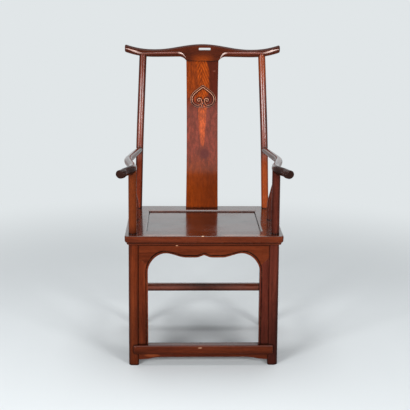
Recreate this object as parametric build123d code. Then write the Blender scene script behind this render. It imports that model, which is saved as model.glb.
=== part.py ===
from build123d import *
from functools import partial
from math import cos, pi
import os

# A yoke-back armchair of lacquered hardwood: four splayed legs that run up through a framed
# seat as posts, a crest rail and two arms whose ends stick out past the posts, a curved back
# splat, shaped aprons under the seat and foot stretchers that step up from front to back.
# Model frame: X to the sitter's left-right, -Y the way the chair faces, +Z up, millimetres.
# While it is built, the seat's middle is at x = y = 0 and the soles are at z = 0.

# --- fits -------------------------------------------------------------------------------
FIT = 0.1                  # side clearance between a tenon or tongue and its mortise or groove
END_GAP = 0.5              # free depth beyond the end of a tenon or tongue
OVERLAP = 1.0              # by which cutters and joined solids run into each other

# --- seat frame -------------------------------------------------------------------------
SEAT_WIDTH = 588.0
SEAT_DEPTH = 460.0
SEAT_HEIGHT = 515.0
FRONT_RAIL_WIDTH = 73.4
SIDE_RAIL_WIDTH = 78.6
BACK_RAIL_WIDTH = 74.3
RAIL_FLARE = 0.073         # share of a rail's width that slopes down to the panel
RAIL_FLARE_DROP = 4.0
RAIL_BAND = 27.5           # height of the plain upper band of the seat rails
RAIL_BAND_TOP_ROUND = 3.5
RAIL_BAND_UNDERCUT = 9.0   # quarter round that draws the band in towards its lower edge
RAIL_BEAD = 8.0            # height of the bead under the band
RAIL_BEAD_INSET = 7.0
RAIL_BEAD_ROUND = 3.6
SEAT_CORNER_ROUND = 12.0
MITRE_TENON_THICK = 13.0
MITRE_TENON_WIDTH = 10.0
MITRE_TENON_LENGTH = 31.5  # measured from the inner edge of the side rail
MITRE_TENON_BACK = 7.5     # from the inner edge of the long rail to the tenon
MITRE_TENON_DROP = 15.0    # from the seat top to the tenon's upper side
MITRE_TENON_ROOT = 5.0     # how far it is rooted in its own rail

# --- seat panel and its battens ---------------------------------------------------------
PANEL_RECESS = 7.0
PANEL_THICK = 10.0
PANEL_GAP = 3.0            # open joint round the dried-out panel
PANEL_TONGUE = 5.0
PANEL_TONGUE_THICK = 5.0
PANEL_TONGUE_DROP = 3.5
BATTEN_WIDTH = 36.0
BATTEN_THICK = 17.5
BATTEN_SPACING = 200.0
BATTEN_KEY_HEIGHT = 4.0
BATTEN_KEY_WIDTH = 24.0    # at the wide, upper side of the dovetail
BATTEN_KEY_NECK = 18.0
BATTEN_TENON_LENGTH = 12.0
BATTEN_TENON_THICK = 6.0
BATTEN_TENON_WIDTH = 26.0
BATTEN_TENON_RISE = 2.0    # above the underside of the seat rails

# --- legs and posts ---------------------------------------------------------------------
LEG_SIZE = 38.0
LEG_OUTER_ROUND = 16.0     # round on the corner that faces outwards
LEG_SIDE_ROUND = 8.0       # rounds on the two corners beside it
LEG_INNER_ROUND = 1.5
LEG_INSET_X = 31.6         # from the seat's edge to a leg's middle, just under the seat
FRONT_LEG_INSET_Y = 42.5
BACK_LEG_INSET_Y = 36.0
SPLAY_X = 0.0057           # outward run per millimetre of fall
SPLAY_Y = 0.027
FRONT_POST_RADIUS = 15.2
FRONT_POST_INSET_X = 0.4   # from the leg's outer faces to the post's
FRONT_POST_INSET_Y = 0.4
POST_ROOT = 6.0            # how far a round post is carried down inside its leg's top
BACK_POST_RADIUS = 14.6
BACK_POST_SHIFT_X = -1.6   # outwards from the leg's middle to the post's at the seat top
BACK_POST_SHIFT_Y = 4.0
BACK_POST_BEND_HEIGHT = 285.0   # of the post's bend above the seat
BACK_POST_BEND_LEAN_X = 8.0     # inwards, from the seat top to the bend
BACK_POST_BEND_LEAN_Y = 14.0    # backwards
BACK_POST_TOP_LEAN_X = 21.8     # from the seat top to the crest rail
BACK_POST_TOP_LEAN_Y = 68.0
BACK_POST_BEND_RADIUS = 1600.0
POST_TENON_RADIUS = 7.5
POST_TENON_LENGTH = 14.0

# --- crest rail -------------------------------------------------------------------------
CREST_OVERHANG = 73.0      # of each end beyond the middle of its back post
CREST_RADIUS = 15.3        # of the round arms of the yoke
CREST_RISE = 625.5         # from the seat to the middle of the round arms at their lowest
CREST_SAG_INSIDE = 49.0    # from the middle of the back post in to that lowest place
CREST_TIP_RISE = 20.0
CREST_TIP_CURVE = 2.2      # power of the upward sweep to the tips
CREST_TIP_BACK = 3.0       # how far the tips bend back behind the posts
CREST_TOP_RISE = 36.0      # from the lowest place of the arms' middle line to the headrest's top
CREST_BODY_DROP = 13.5     # and down to the headrest's bottom
CREST_BODY_DEPTH = 31.0
CREST_SQUARENESS = 2.7     # of the headrest's section: 2 is an oval, more is boxier
CREST_BOW = 11.0           # how far the middle lies behind the posts
CREST_TIP_ROUND = 5.0
CREST_SLOT_WIDTH = 48.0
CREST_SLOT_SHIFT = 9.0     # to the right of the splat's middle
CREST_SLOT_HEIGHT = 10.0
CREST_SLOT_ROUND = 3.0
CREST_SLOT_RISE = 12.2     # of the slot's bottom above the arms' lowest middle
CREST_SKIRT_DROP = 15.5    # of the lip that meets the splat, under the headrest
CREST_SKIRT_THICK = 22.0
CREST_SKIRT_FLARE = 47.0   # sideways reach of each curved shoulder
CREST_SKIRT_LAP = 12.0     # how far the lip reaches up into the headrest
CREST_SKIRT_FADE = 2.0     # how far above the headrest's bottom the shoulders run out
CREST_SKIRT_STEEP = 0.25   # shares of the flare where the shoulder turns
CREST_SKIRT_LEVEL = 0.55

# --- back splat -------------------------------------------------------------------------
SPLAT_BASE_WIDTH = 131.0
SPLAT_WAIST_WIDTH = 126.0
SPLAT_TOP_WIDTH = 130.5
SPLAT_THICK = 12.0
SPLAT_LUMBAR_HEIGHT = 190.0     # of the forward bend above the seat
SPLAT_LUMBAR_FORWARD = 2.0      # of its foot
SPLAT_UPPER_HEIGHT = 465.0      # of the backward bend above the seat
SPLAT_UPPER_FORWARD = 7.0       # of its head
SPLAT_HEAD_FORWARD = 2.0        # of the crest rail's middle
SPLAT_BEND_RADIUS = 420.0
SPLAT_TONGUE_THICK = 6.0
SPLAT_TONGUE_LENGTH = 12.0
SPLAT_TONGUE_SHOULDER = 10.0    # from the splat's edge to the tongue's end

# --- arms and their side posts ----------------------------------------------------------
ARM_HEIGHT = 242.0         # middle of the arm above the seat
ARM_BACK_RADIUS = 12.4
ARM_MIDDLE_RADIUS = 14.8
ARM_GRIP_RADIUS = 15.7
ARM_OUT_BULGE = 29.6       # of the outward bend's corner beyond the legs' middles
ARM_OUT_Y = -22.0
ARM_OUT_BEND_RADIUS = 220.0
ARM_IN_BEND_RADIUS = 90.0
ARM_IN_SHIFT_X = 5.0       # from the front post to the corner of the inward bend
ARM_IN_SHIFT_Y = 8.0
GRIP_REACH = 93.0          # of the grip's end ahead of the front post
GRIP_SPLAY = 42.8          # sideways reach of the grip's end from the front post
GRIP_END_ROUND = 4.5
ARM_SEAT_DROP = 5.0        # from the arm's middle down to the top of the post's hollow
SIDE_POST_FOOT_RADIUS = 10.5
SIDE_POST_TOP_RADIUS = 7.6
SIDE_POST_FOOT_INSET = 31.5     # from the seat's side edge
SIDE_POST_FOOT_Y = 8.0
SIDE_POST_LOW_BEND = 72.0  # height of its first bend above the seat
SIDE_POST_HIGH_BEND = 158.0
SIDE_POST_BELLY = 1.5      # inward lean at the first bend
SIDE_POST_LOW_FORWARD = 0.1     # share of the way from its foot to the arm, at the first bend
SIDE_POST_HIGH_FORWARD = 0.6    # and at the second
SIDE_POST_HIGH_OUT = 0.62
SIDE_POST_BEND_RADIUS = 130.0
SIDE_POST_ARM_PLACE = 0.47      # where it meets the arm, along the arm from the back
SIDE_POST_TENON_RADIUS = 4.0
SIDE_POST_TENON_LENGTH = 9.0

# --- aprons -----------------------------------------------------------------------------
APRON_THICK = 10.0
APRON_SETBACK = 5.0        # behind the outer face of the legs
APRON_TONGUE = 5.0
APRON_TONGUE_THICK = 4.0
APRON_BEAD_WIDTH = 5.5
APRON_BEAD_PROUD = 2.4
APRON_QUIRK_WIDTH = 3.0    # groove along the foot of the bead
APRON_QUIRK_DEEP = 2.4
APRON_MITRE_INSIDE = 6.0   # how far inside the opening the corner mitres begin
# the drops below are measured from the underside of the seat rails
FRONT_APRON_WIDTH = 33.4   # of an upright front apron under the seat
FRONT_ARCH_SPRING_DROP = 113.5
FRONT_ARCH_CROWN_IN = 68.0 # from the side of the arch to its crown
FRONT_ARCH_CROWN_DROP = 37.5
FRONT_ARCH_FLAT_X = 67.0
FRONT_ARCH_FLAT_DROP = 53.9
FRONT_ARCH_CUSP_X = 32.0
FRONT_ARCH_CUSP_DROP = 44.9
FRONT_MITRE_DROP = 94.5
SIDE_APRON_WIDTH = 28.0
SIDE_ARCH_SPRING_DROP = 101.5
SIDE_ARCH_CROWN_IN = 52.0
SIDE_ARCH_CROWN_DROP = 37.5
SIDE_ARCH_FLAT_X = 44.0
SIDE_ARCH_FLAT_DROP = 49.5
SIDE_ARCH_CUSP_X = 22.0
SIDE_ARCH_CUSP_DROP = 43.5
SIDE_MITRE_DROP = 91.5
ARCH_SHOULDER_UP = 0.6     # share of a shoulder's height that stays nearly upright
ARCH_SHOULDER_OVER = 0.45  # share of its width that stays nearly level
BACK_APRON_HEIGHT = 36.0
BACK_BRACKET_DROP = 62.0
BACK_BRACKET_WIDTH = 44.0
BRACKET_TURN = 0.6         # share of a bracket's width where its curve turns

# --- stretchers -------------------------------------------------------------------------
FOOT_RAIL_TOP = 81.0
FOOT_RAIL_HEIGHT = 34.0
FOOT_RAIL_DEPTH = 36.0
FOOT_RAIL_PROUD = 9.0      # ahead of the front legs
FOOT_RAIL_EAR = 20.2       # length of the ears that lap over the legs
FOOT_RAIL_ROUND = 6.0
FOOT_RAIL_END_ROUND = 8.0
FOOT_APRON_END = 21.5      # height of its lower edge beside the legs
FOOT_APRON_MIDDLE = 31.0
FOOT_APRON_END_RUN = 95.0
FOOT_APRON_TURN = 0.5      # share of that run where the curve turns
SIDE_STRETCHER_TOP = 134.0
BACK_STRETCHER_TOP = 187.0
STRETCHER_HEIGHT = 34.0
STRETCHER_THICK = 25.0
STRETCHER_ROUND = 11.0
RAIL_TENON_LENGTH = 20.0
RAIL_TENON_HEIGHT = 20.0
RAIL_TENON_THICK = 10.0

# --- sizes worked out from the ones above -----------------------------------------------
SEAT_BOTTOM = SEAT_HEIGHT - RAIL_BAND - RAIL_BEAD
PANEL_TOP = SEAT_HEIGHT - PANEL_RECESS
PANEL_BOTTOM = PANEL_TOP - PANEL_THICK
LEG_SPREAD = SEAT_WIDTH / 2 - LEG_INSET_X
FRONT_LEG_SETBACK = SEAT_DEPTH / 2 - FRONT_LEG_INSET_Y
BACK_LEG_SETBACK = SEAT_DEPTH / 2 - BACK_LEG_INSET_Y
BACK_POST_SPREAD = LEG_SPREAD + BACK_POST_SHIFT_X
BACK_POST_SETBACK = BACK_LEG_SETBACK + BACK_POST_SHIFT_Y
BACK_POST_TOP_SPREAD = BACK_POST_SPREAD - BACK_POST_TOP_LEAN_X
CREST_Y = BACK_POST_SETBACK + BACK_POST_TOP_LEAN_Y
CREST_Z = SEAT_HEIGHT + CREST_RISE
CREST_HALF = BACK_POST_TOP_SPREAD + CREST_OVERHANG
CREST_SAG_SPREAD = BACK_POST_TOP_SPREAD - CREST_SAG_INSIDE
CREST_BODY_BOTTOM = CREST_Z - CREST_BODY_DROP
CREST_LIP = CREST_BODY_BOTTOM - CREST_SKIRT_DROP
SPLAT_HEAD_Y = CREST_Y + CREST_BOW - SPLAT_HEAD_FORWARD
ARM_Z = SEAT_HEIGHT + ARM_HEIGHT
INNER_X = SEAT_WIDTH / 2 - SIDE_RAIL_WIDTH
INNER_FRONT = -SEAT_DEPTH / 2 + FRONT_RAIL_WIDTH
INNER_BACK = SEAT_DEPTH / 2 - BACK_RAIL_WIDTH
LEG_HALF = LEG_SIZE / 2
FAR = 2 * (SEAT_WIDTH + SEAT_DEPTH)    # longer than any piece, for cutting prisms
ARM_STATIONS = 14          # sections that a loft runs through
SIDE_POST_STATIONS = 12
CREST_STATIONS = 5         # in each half of the headrest and of its round arms
CREST_SECTION_POINTS = 16
LEFT, RIGHT = -1, 1
FRONT, BACK = -1, 1
SIDES = {LEFT: "left", RIGHT: "right"}


# --- helpers ----------------------------------------------------------------------------
def block(x_range, y_range, z_range):
    """Box between two limits on each axis."""
    (x0, x1), (y0, y1), (z0, z1) = x_range, y_range, z_range
    middle = ((x0 + x1) / 2, (y0 + y1) / 2, (z0 + z1) / 2)
    return Pos(*middle) * Box(abs(x1 - x0), abs(y1 - y0), abs(z1 - z0))


def one_solid(shape):
    """The largest solid of a shape, so that a node never carries a stray shaving."""
    solids = shape.solids()
    if len(solids) == 1:
        return solids[0]
    return max(solids, key=lambda solid: solid.volume)


def two_largest(shape, axis):
    """The two largest solids of a shape, in order along an axis."""
    return ShapeList(shape.solids().sort_by(SortBy.VOLUME)[-2:]).sort_by(axis)


def slanted(face, z_low, z_high, slope_x, slope_y):
    """Upright prism whose level section is face and which leans by the slopes per mm of rise."""
    rise = z_high - z_low
    lean = Vector(slope_x, slope_y, 1)
    return Solid.extrude((Pos(0, 0, z_low) * face).face(), lean * rise)


def rod(start, end, radius):
    """Round bar between two points."""
    start, end = Vector(*start), Vector(*end)
    path = end - start
    return Solid.make_cylinder(radius, path.length, Plane(start, z_dir=path))


def leg_centre(side, end, z):
    """Middle of a leg at height z."""
    fall = SEAT_BOTTOM - z
    setback = FRONT_LEG_SETBACK if end == FRONT else BACK_LEG_SETBACK
    return side * (LEG_SPREAD + SPLAY_X * fall), end * (setback + SPLAY_Y * fall)


def leg_inner(end, z):
    """Distance from the chair's middle plane to the inner faces of two legs at height z."""
    return leg_centre(RIGHT, end, z)[0] - LEG_HALF


def front_post_centre(side, z):
    """Middle of the round post above a front leg at height z."""
    x, y = leg_centre(side, FRONT, z)
    shift = LEG_HALF - FRONT_POST_RADIUS
    return x + side * (shift - FRONT_POST_INSET_X), y - (shift - FRONT_POST_INSET_Y)


def leg_section(side, end):
    """Level section of a leg: round towards the outside, square towards the inside."""
    outline = Rectangle(LEG_SIZE, LEG_SIZE)
    for vertex in outline.vertices():
        outward = (vertex.X * side > 0) + (vertex.Y * end > 0)
        radius = (LEG_INNER_ROUND, LEG_SIDE_ROUND, LEG_OUTER_ROUND)[outward]
        near = min(outline.vertices(), key=lambda v: (v.X - vertex.X) ** 2 + (v.Y - vertex.Y) ** 2)
        outline = fillet(near, radius)
    return outline


def leg_prism(side, end, z_low, z_high):
    """A leg between two heights, with its splay."""
    x, y = leg_centre(side, end, z_low)
    section = Pos(x, y, 0) * leg_section(side, end)
    return slanted(section, z_low, z_high, -side * SPLAY_X, -end * SPLAY_Y)


def round_bar(path, radius_at, stations, across):
    """Round bar of changing thickness along a path; across is never along the path."""
    sections = []
    for index in range(stations + 1):
        place = index / stations
        plane = Plane(path @ place, x_dir=across, z_dir=path % place)
        sections.append(plane * Circle(radius_at(place)))
    return one_solid(loft(sections))


def rounded_bar(length_axis, middle, length, thick, height, radius):
    """Stretcher bar along X or Y with rounded long edges."""
    turned = Plane.YZ if length_axis == "X" else Plane.XZ
    bar = extrude(turned * RectangleRounded(thick, height, radius), length / 2, both=True)
    return Pos(*middle) * bar


# --- seat frame -------------------------------------------------------------------------
def seat_flare():
    """Sloping mouth of the frame's opening, whose corners lie on the mitre lines."""
    faces = []
    for share, z in ((0, SEAT_HEIGHT - RAIL_FLARE_DROP), (RAIL_FLARE, SEAT_HEIGHT)):
        x = INNER_X + share * SIDE_RAIL_WIDTH
        front = INNER_FRONT - share * FRONT_RAIL_WIDTH
        back = INNER_BACK + share * BACK_RAIL_WIDTH
        faces.append(Pos(0, (front + back) / 2, z) * Rectangle(2 * x, back - front))
    return loft(faces, ruled=True)


def seat_ring():
    """The whole moulded frame before it is mitred into rails."""
    plan = RectangleRounded(SEAT_WIDTH, SEAT_DEPTH, SEAT_CORNER_ROUND)
    band = extrude(Pos(0, 0, SEAT_BOTTOM + RAIL_BEAD) * plan, RAIL_BAND)
    band = fillet(band.edges().group_by(Axis.Z)[-1], RAIL_BAND_TOP_ROUND)
    band = fillet(band.edges().group_by(Axis.Z)[0], RAIL_BAND_UNDERCUT)
    inset = 2 * RAIL_BEAD_INSET
    bead_round = SEAT_CORNER_ROUND - RAIL_BEAD_INSET / 2
    bead_plan = RectangleRounded(SEAT_WIDTH - inset, SEAT_DEPTH - inset, bead_round)
    bead = extrude(Pos(0, 0, SEAT_BOTTOM) * bead_plan, RAIL_BEAD)
    bead = fillet(bead.edges().group_by(Axis.Z)[-1], RAIL_BEAD_ROUND)
    bead = fillet(bead.edges().group_by(Axis.Z)[0], RAIL_BEAD_ROUND)
    opening = block((-INNER_X, INNER_X), (INNER_FRONT, INNER_BACK), (0, FAR))
    return band + bead - opening - seat_flare() - panel_blank(True)


def mitre_prism(end=0, side=0):
    """Prism that holds one rail of the frame, cut on the mitre lines."""
    reach = 1.3            # past the outer corners
    corners = {}
    for x_sign in (LEFT, RIGHT):
        for y_sign, inner_y in ((FRONT, INNER_FRONT), (BACK, INNER_BACK)):
            inner = Vector(x_sign * INNER_X, inner_y)
            outer = Vector(x_sign * SEAT_WIDTH / 2, y_sign * SEAT_DEPTH / 2)
            corners[x_sign, y_sign] = (inner, inner + (outer - inner) * reach)
    if end:
        first, second = corners[LEFT, end], corners[RIGHT, end]
    else:
        first, second = corners[side, FRONT], corners[side, BACK]
    outline = Polyline(first[0], first[1], second[1], second[0], close=True)
    return extrude(make_face(outline), FAR)


def mitre_tenons(end, clearance):
    """The two tenons at the ends of the front or back rail."""
    inner_y = INNER_FRONT if end == FRONT else INNER_BACK
    y0 = inner_y + end * (MITRE_TENON_BACK - clearance)
    y1 = inner_y + end * (MITRE_TENON_BACK + MITRE_TENON_WIDTH + clearance)
    z1 = SEAT_HEIGHT - MITRE_TENON_DROP + clearance
    z0 = z1 - MITRE_TENON_THICK - 2 * clearance
    tip = INNER_X + MITRE_TENON_LENGTH + (END_GAP if clearance else 0)
    return [block((side * (INNER_X - MITRE_TENON_ROOT), side * tip), (y0, y1), (z0, z1)) for side in SIDES]


def post_holes():
    """Slanted holes through the frame's corners for the four posts."""
    holes = []
    for side in SIDES:
        low, high = SEAT_BOTTOM - OVERLAP, SEAT_HEIGHT + OVERLAP
        x, y = front_post_centre(side, low)
        circle = Pos(x, y, 0) * Circle(FRONT_POST_RADIUS + FIT)
        holes.append(slanted(circle, low, high, -side * SPLAY_X, SPLAY_Y))
        points = back_post_points(side)
        holes.append(rod(points[0], points[1], BACK_POST_RADIUS + FIT))
    return holes


def seat_panel_slab(grow, z_low, z_high):
    """Flat block as large as the frame's opening plus grow on every side."""
    y_range = (INNER_FRONT - grow, INNER_BACK + grow)
    return block((-INNER_X - grow, INNER_X + grow), y_range, (z_low, z_high))


def panel_blank(as_groove):
    """The panel with its tongue, or the groove that takes the tongue."""
    tongue_top = PANEL_TOP - PANEL_TONGUE_DROP
    tongue_bottom = tongue_top - PANEL_TONGUE_THICK
    if as_groove:
        return seat_panel_slab(PANEL_TONGUE + END_GAP, tongue_bottom, tongue_top + FIT)
    body = seat_panel_slab(-PANEL_GAP, PANEL_BOTTOM, PANEL_TOP)
    return body + seat_panel_slab(PANEL_TONGUE, tongue_bottom, tongue_top)


def batten_key(x, clearance):
    """Dovetail along the top of a batten, which slides into the panel's underside."""
    neck, wide = BATTEN_KEY_NECK / 2 + clearance, BATTEN_KEY_WIDTH / 2 + clearance
    height = BATTEN_KEY_HEIGHT + clearance
    outline = Polyline((-neck, -OVERLAP), (-neck, 0), (-wide, height),
                       (wide, height), (neck, 0), (neck, -OVERLAP), close=True)
    length = INNER_BACK - INNER_FRONT - 2 * PANEL_GAP
    middle = (INNER_BACK + INNER_FRONT) / 2
    key = extrude(Plane.XZ * make_face(outline), length / 2, both=True)
    return Pos(x, middle, PANEL_BOTTOM) * key


def batten_tenon(x, clearance):
    """Bar that runs through a batten and ends as a tenon in the front and back rails."""
    half = BATTEN_TENON_WIDTH / 2 + clearance
    z_low = SEAT_BOTTOM + BATTEN_TENON_RISE - clearance
    z_high = SEAT_BOTTOM + BATTEN_TENON_RISE + BATTEN_TENON_THICK + clearance
    reach = BATTEN_TENON_LENGTH + (END_GAP if clearance else 0)
    return block((x - half, x + half), (INNER_FRONT - reach, INNER_BACK + reach), (z_low, z_high))


def seat_batten(x):
    """Brace under the seat panel, dovetailed to it and tenoned into the long rails."""
    half = BATTEN_WIDTH / 2
    bar = block((x - half, x + half), (INNER_FRONT, INNER_BACK), (PANEL_BOTTOM - BATTEN_THICK, PANEL_BOTTOM))
    return bar + batten_key(x, 0) + batten_tenon(x, 0)


def seat_panel():
    """Floating board of the seat."""
    panel = panel_blank(False)
    for side in SIDES:
        panel -= batten_key(side * BATTEN_SPACING / 2, FIT)
    return panel


def seat_rails():
    """The four mitred rails with every mortise and groove cut in them."""
    ring = seat_ring()
    groove = APRON_TONGUE_THICK + 2 * FIT
    for hole in post_holes():
        ring -= hole
    for side in SIDES:
        ring -= batten_tenon(side * BATTEN_SPACING / 2, FIT)
        ring -= side_post_foot_tenon(side, FIT)
        ring -= side_slab(side, groove, SEAT_BOTTOM - OVERLAP, tongue_top(END_GAP), reach=FIT)
    ring -= splat_foot_tongue(FIT)
    for end in (FRONT, BACK):
        half = leg_inner(end, SEAT_BOTTOM) + FIT
        ring -= end_slab(end, groove, SEAT_BOTTOM - OVERLAP, tongue_top(END_GAP), half=half)
    rails = {}
    for end, name in ((FRONT, "front"), (BACK, "back")):
        rail = ring & mitre_prism(end=end)
        for tenon in mitre_tenons(end, 0):
            rail += tenon
        rails[f"seat_rail_{name}"] = rail
    for side, name in SIDES.items():
        rail = ring & mitre_prism(side=side)
        for end in (FRONT, BACK):
            for mortise in mitre_tenons(end, FIT):
                rail -= mortise
        rails[f"seat_rail_{name}"] = rail
    return rails


# --- aprons -----------------------------------------------------------------------------
def tongue_top(extra=0.0):
    """Height reached by the tongues that go up into the seat rails."""
    return SEAT_BOTTOM + APRON_TONGUE + extra


def end_slab(end, thick, z_low, z_high, half=None, shift=0.0):
    """Upright slab between the two front or the two back legs, leaning with their splay.

    Its thickness lies about the middle of the apron boards; shift moves it outwards.
    """
    half = leg_inner(end, z_low) if half is None else half
    face_y = abs(leg_centre(RIGHT, end, z_low)[1]) + LEG_HALF - APRON_SETBACK
    middle = face_y - APRON_THICK / 2 + shift
    level = Pos(0, end * middle, 0) * Rectangle(2 * half, thick)
    return slanted(level, z_low, z_high, 0, -end * SPLAY_Y)


def side_slab(side, thick, z_low, z_high, reach=0.0, shift=0.0):
    """Upright slab between the front and back legs of one side, leaning with their splay."""
    front = leg_centre(side, FRONT, z_low)[1] + LEG_HALF - reach
    back = leg_centre(side, BACK, z_low)[1] - LEG_HALF + reach
    face_x = LEG_SPREAD + SPLAY_X * (SEAT_BOTTOM - z_low) + LEG_HALF - APRON_SETBACK
    middle = face_x - APRON_THICK / 2 + shift
    level = Pos(side * middle, (front + back) / 2, 0) * Rectangle(thick, back - front)
    return slanted(level, z_low, z_high, -side * SPLAY_X, 0)


def arch_face(half, spring, crown_in, crown, flat_x, flat, cusp_x, cusp, grow):
    """Opening of an apron: two rounded shoulders, a flat run and a small peak in the middle."""
    half, crown, flat, cusp = half + grow, crown + grow, flat + grow, cusp + grow
    crown_x = half - crown_in
    lean = (crown_x - flat_x) / 3
    upright = spring + ARCH_SHOULDER_UP * (crown - spring)
    lines = []
    for sign in (LEFT, RIGHT):
        shoulder = ((sign * half, spring), (sign * half, upright),
                    (sign * (crown_x + ARCH_SHOULDER_OVER * crown_in), crown), (sign * crown_x, crown))
        dip = ((sign * crown_x, crown), (sign * (crown_x - lean), crown),
               (sign * (flat_x + lean), flat), (sign * flat_x, flat))
        peak = ((sign * cusp_x, flat), (sign * cusp_x / 2, flat),
                (sign * cusp_x / 4, cusp - OVERLAP), (0, cusp))
        lines.append(Line((sign * half, 0), (sign * half, spring)))
        lines.append(Bezier(*shoulder))
        lines.append(Bezier(*dip))
        lines.append(Line((sign * flat_x, flat), (sign * cusp_x, flat)))
        lines.append(Bezier(*peak))
    lines.append(Line((-half, 0), (half, 0)))
    return make_face(Wire.combine(lines)[0])


def front_arch(grow):
    """Opening between the front aprons, in the plane x, z."""
    half = leg_inner(FRONT, SEAT_BOTTOM) - FRONT_APRON_WIDTH
    return Plane.XZ * arch_face(half, SEAT_BOTTOM - FRONT_ARCH_SPRING_DROP,
                                FRONT_ARCH_CROWN_IN, SEAT_BOTTOM - FRONT_ARCH_CROWN_DROP,
                                FRONT_ARCH_FLAT_X, SEAT_BOTTOM - FRONT_ARCH_FLAT_DROP,
                                FRONT_ARCH_CUSP_X, SEAT_BOTTOM - FRONT_ARCH_CUSP_DROP, grow)


def side_gap(z):
    """Front and back limit of the gap between the two legs of a side at height z."""
    return leg_centre(RIGHT, FRONT, z)[1] + LEG_HALF, leg_centre(RIGHT, BACK, z)[1] - LEG_HALF


def side_arch(grow):
    """Opening between the side aprons, in the plane y, z."""
    front, back = side_gap(SEAT_BOTTOM)
    half = (back - front) / 2 - SIDE_APRON_WIDTH
    face = arch_face(half, SEAT_BOTTOM - SIDE_ARCH_SPRING_DROP,
                     SIDE_ARCH_CROWN_IN, SEAT_BOTTOM - SIDE_ARCH_CROWN_DROP,
                     SIDE_ARCH_FLAT_X, SEAT_BOTTOM - SIDE_ARCH_FLAT_DROP,
                     SIDE_ARCH_CUSP_X, SEAT_BOTTOM - SIDE_ARCH_CUSP_DROP, grow)
    return Plane.YZ * (Pos((front + back) / 2, 0) * face)


def boards_with_bead(slab, outer_slab, groove_slab, tongues, arch):
    """Apron sheet with its tongues, its opening and a raised bead along it with a groove at its foot."""
    opening = extrude(arch(0), FAR, both=True)
    rim = extrude(arch(APRON_BEAD_WIDTH), FAR, both=True)
    bank = extrude(arch(APRON_BEAD_WIDTH + APRON_QUIRK_WIDTH), FAR, both=True)
    quirk = groove_slab & (bank - rim)
    return slab - quirk + (outer_slab & rim) + tongues - opening


def corner_split(across, corner, low):
    """Face above the mitre lines that part the top apron from the upright ones."""
    high = tongue_top(OVERLAP)
    rise = low + (across - corner)
    outline = Polyline((-corner, low), (-across, rise), (-across, high), (across, high),
                       (across, rise), (corner, low), close=True)
    return make_face(outline)


def apron_boards(slab, limits, tongues, arch, low):
    """Apron sheet with its bead and tongues; slab and limits belong to the front or to a side."""
    sheet = limits(slab(APRON_THICK, low, SEAT_BOTTOM), 0)
    shift = (APRON_THICK + APRON_BEAD_PROUD) / 2
    proud = limits(slab(APRON_BEAD_PROUD, low, SEAT_BOTTOM, shift=shift), 0)
    cut_shift = (APRON_THICK + OVERLAP - APRON_QUIRK_DEEP) / 2
    groove = slab(APRON_QUIRK_DEEP + OVERLAP, low, SEAT_BOTTOM, shift=cut_shift)
    return boards_with_bead(sheet, proud, groove, tongues, arch)


def front_aprons():
    """Top apron and the two upright aprons under the front rail."""
    low = FOOT_RAIL_TOP
    boards = apron_boards(partial(end_slab, FRONT), leg_limits, end_tongues(FRONT, low), front_arch, low)
    inner = leg_inner(FRONT, SEAT_BOTTOM)
    corner = inner - FRONT_APRON_WIDTH - APRON_MITRE_INSIDE
    split = corner_split(inner + 3 * APRON_TONGUE, corner, SEAT_BOTTOM - FRONT_MITRE_DROP)
    top_part = extrude(Plane.XZ * split, FAR, both=True)
    left, right = two_largest(boards - top_part, Axis.X)
    return {"front_apron_top": one_solid(boards & top_part),
            "front_apron_left": left,
            "front_apron_right": right}


def end_tongues(end, low):
    """Thin sheet that stands out of an apron into both legs and up into the seat rail."""
    half = leg_inner(end, low) + 2 * APRON_TONGUE
    aside = end_slab(end, APRON_TONGUE_THICK, low, SEAT_BOTTOM, half=half)
    return leg_limits(aside, APRON_TONGUE) + end_slab(end, APRON_TONGUE_THICK, SEAT_BOTTOM, tongue_top())


def side_tongues(side, low):
    """The same sheet for the aprons of one side."""
    aside = side_slab(side, APRON_TONGUE_THICK, low, SEAT_BOTTOM, reach=2 * APRON_TONGUE)
    return side_limits(aside, APRON_TONGUE) + side_slab(side, APRON_TONGUE_THICK, SEAT_BOTTOM, tongue_top())


def leg_limits(sheet, reach):
    """Trim a sheet between the front legs so that its edges follow their inner faces."""
    low_x = leg_inner(FRONT, 0) + reach
    high_x = leg_inner(FRONT, SEAT_HEIGHT) + reach
    outline = Polyline((-low_x, 0), (-high_x, SEAT_HEIGHT), (high_x, SEAT_HEIGHT), (low_x, 0), close=True)
    return sheet & extrude(Plane.XZ * make_face(outline), FAR, both=True)


def side_limits(sheet, reach):
    """Trim a sheet between the front and back legs of a side to their inner faces."""
    points = []
    for z in (0, SEAT_HEIGHT):
        front, back = side_gap(z)
        points.append(((front - reach, z), (back + reach, z)))
    outline = Polyline(points[0][0], points[1][0], points[1][1], points[0][1], close=True)
    return sheet & extrude(Plane.YZ * make_face(outline), FAR, both=True)


def side_aprons(side):
    """Top apron and the two upright aprons under one side rail."""
    low = SIDE_STRETCHER_TOP
    boards = apron_boards(partial(side_slab, side), side_limits, side_tongues(side, low), side_arch, low)
    front, back = side_gap(SEAT_BOTTOM)
    half = (back - front) / 2
    corner = half - SIDE_APRON_WIDTH - APRON_MITRE_INSIDE
    split = corner_split(half + 3 * APRON_TONGUE, corner, SEAT_BOTTOM - SIDE_MITRE_DROP)
    top_part = extrude(Plane.YZ * (Pos((front + back) / 2, 0) * split), FAR, both=True)
    foremost, rearmost = two_largest(boards - top_part, Axis.Y)
    name = SIDES[side]
    return {f"side_apron_{name}_top": one_solid(boards & top_part),
            f"side_apron_{name}_front": foremost,
            f"side_apron_{name}_back": rearmost}


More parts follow.
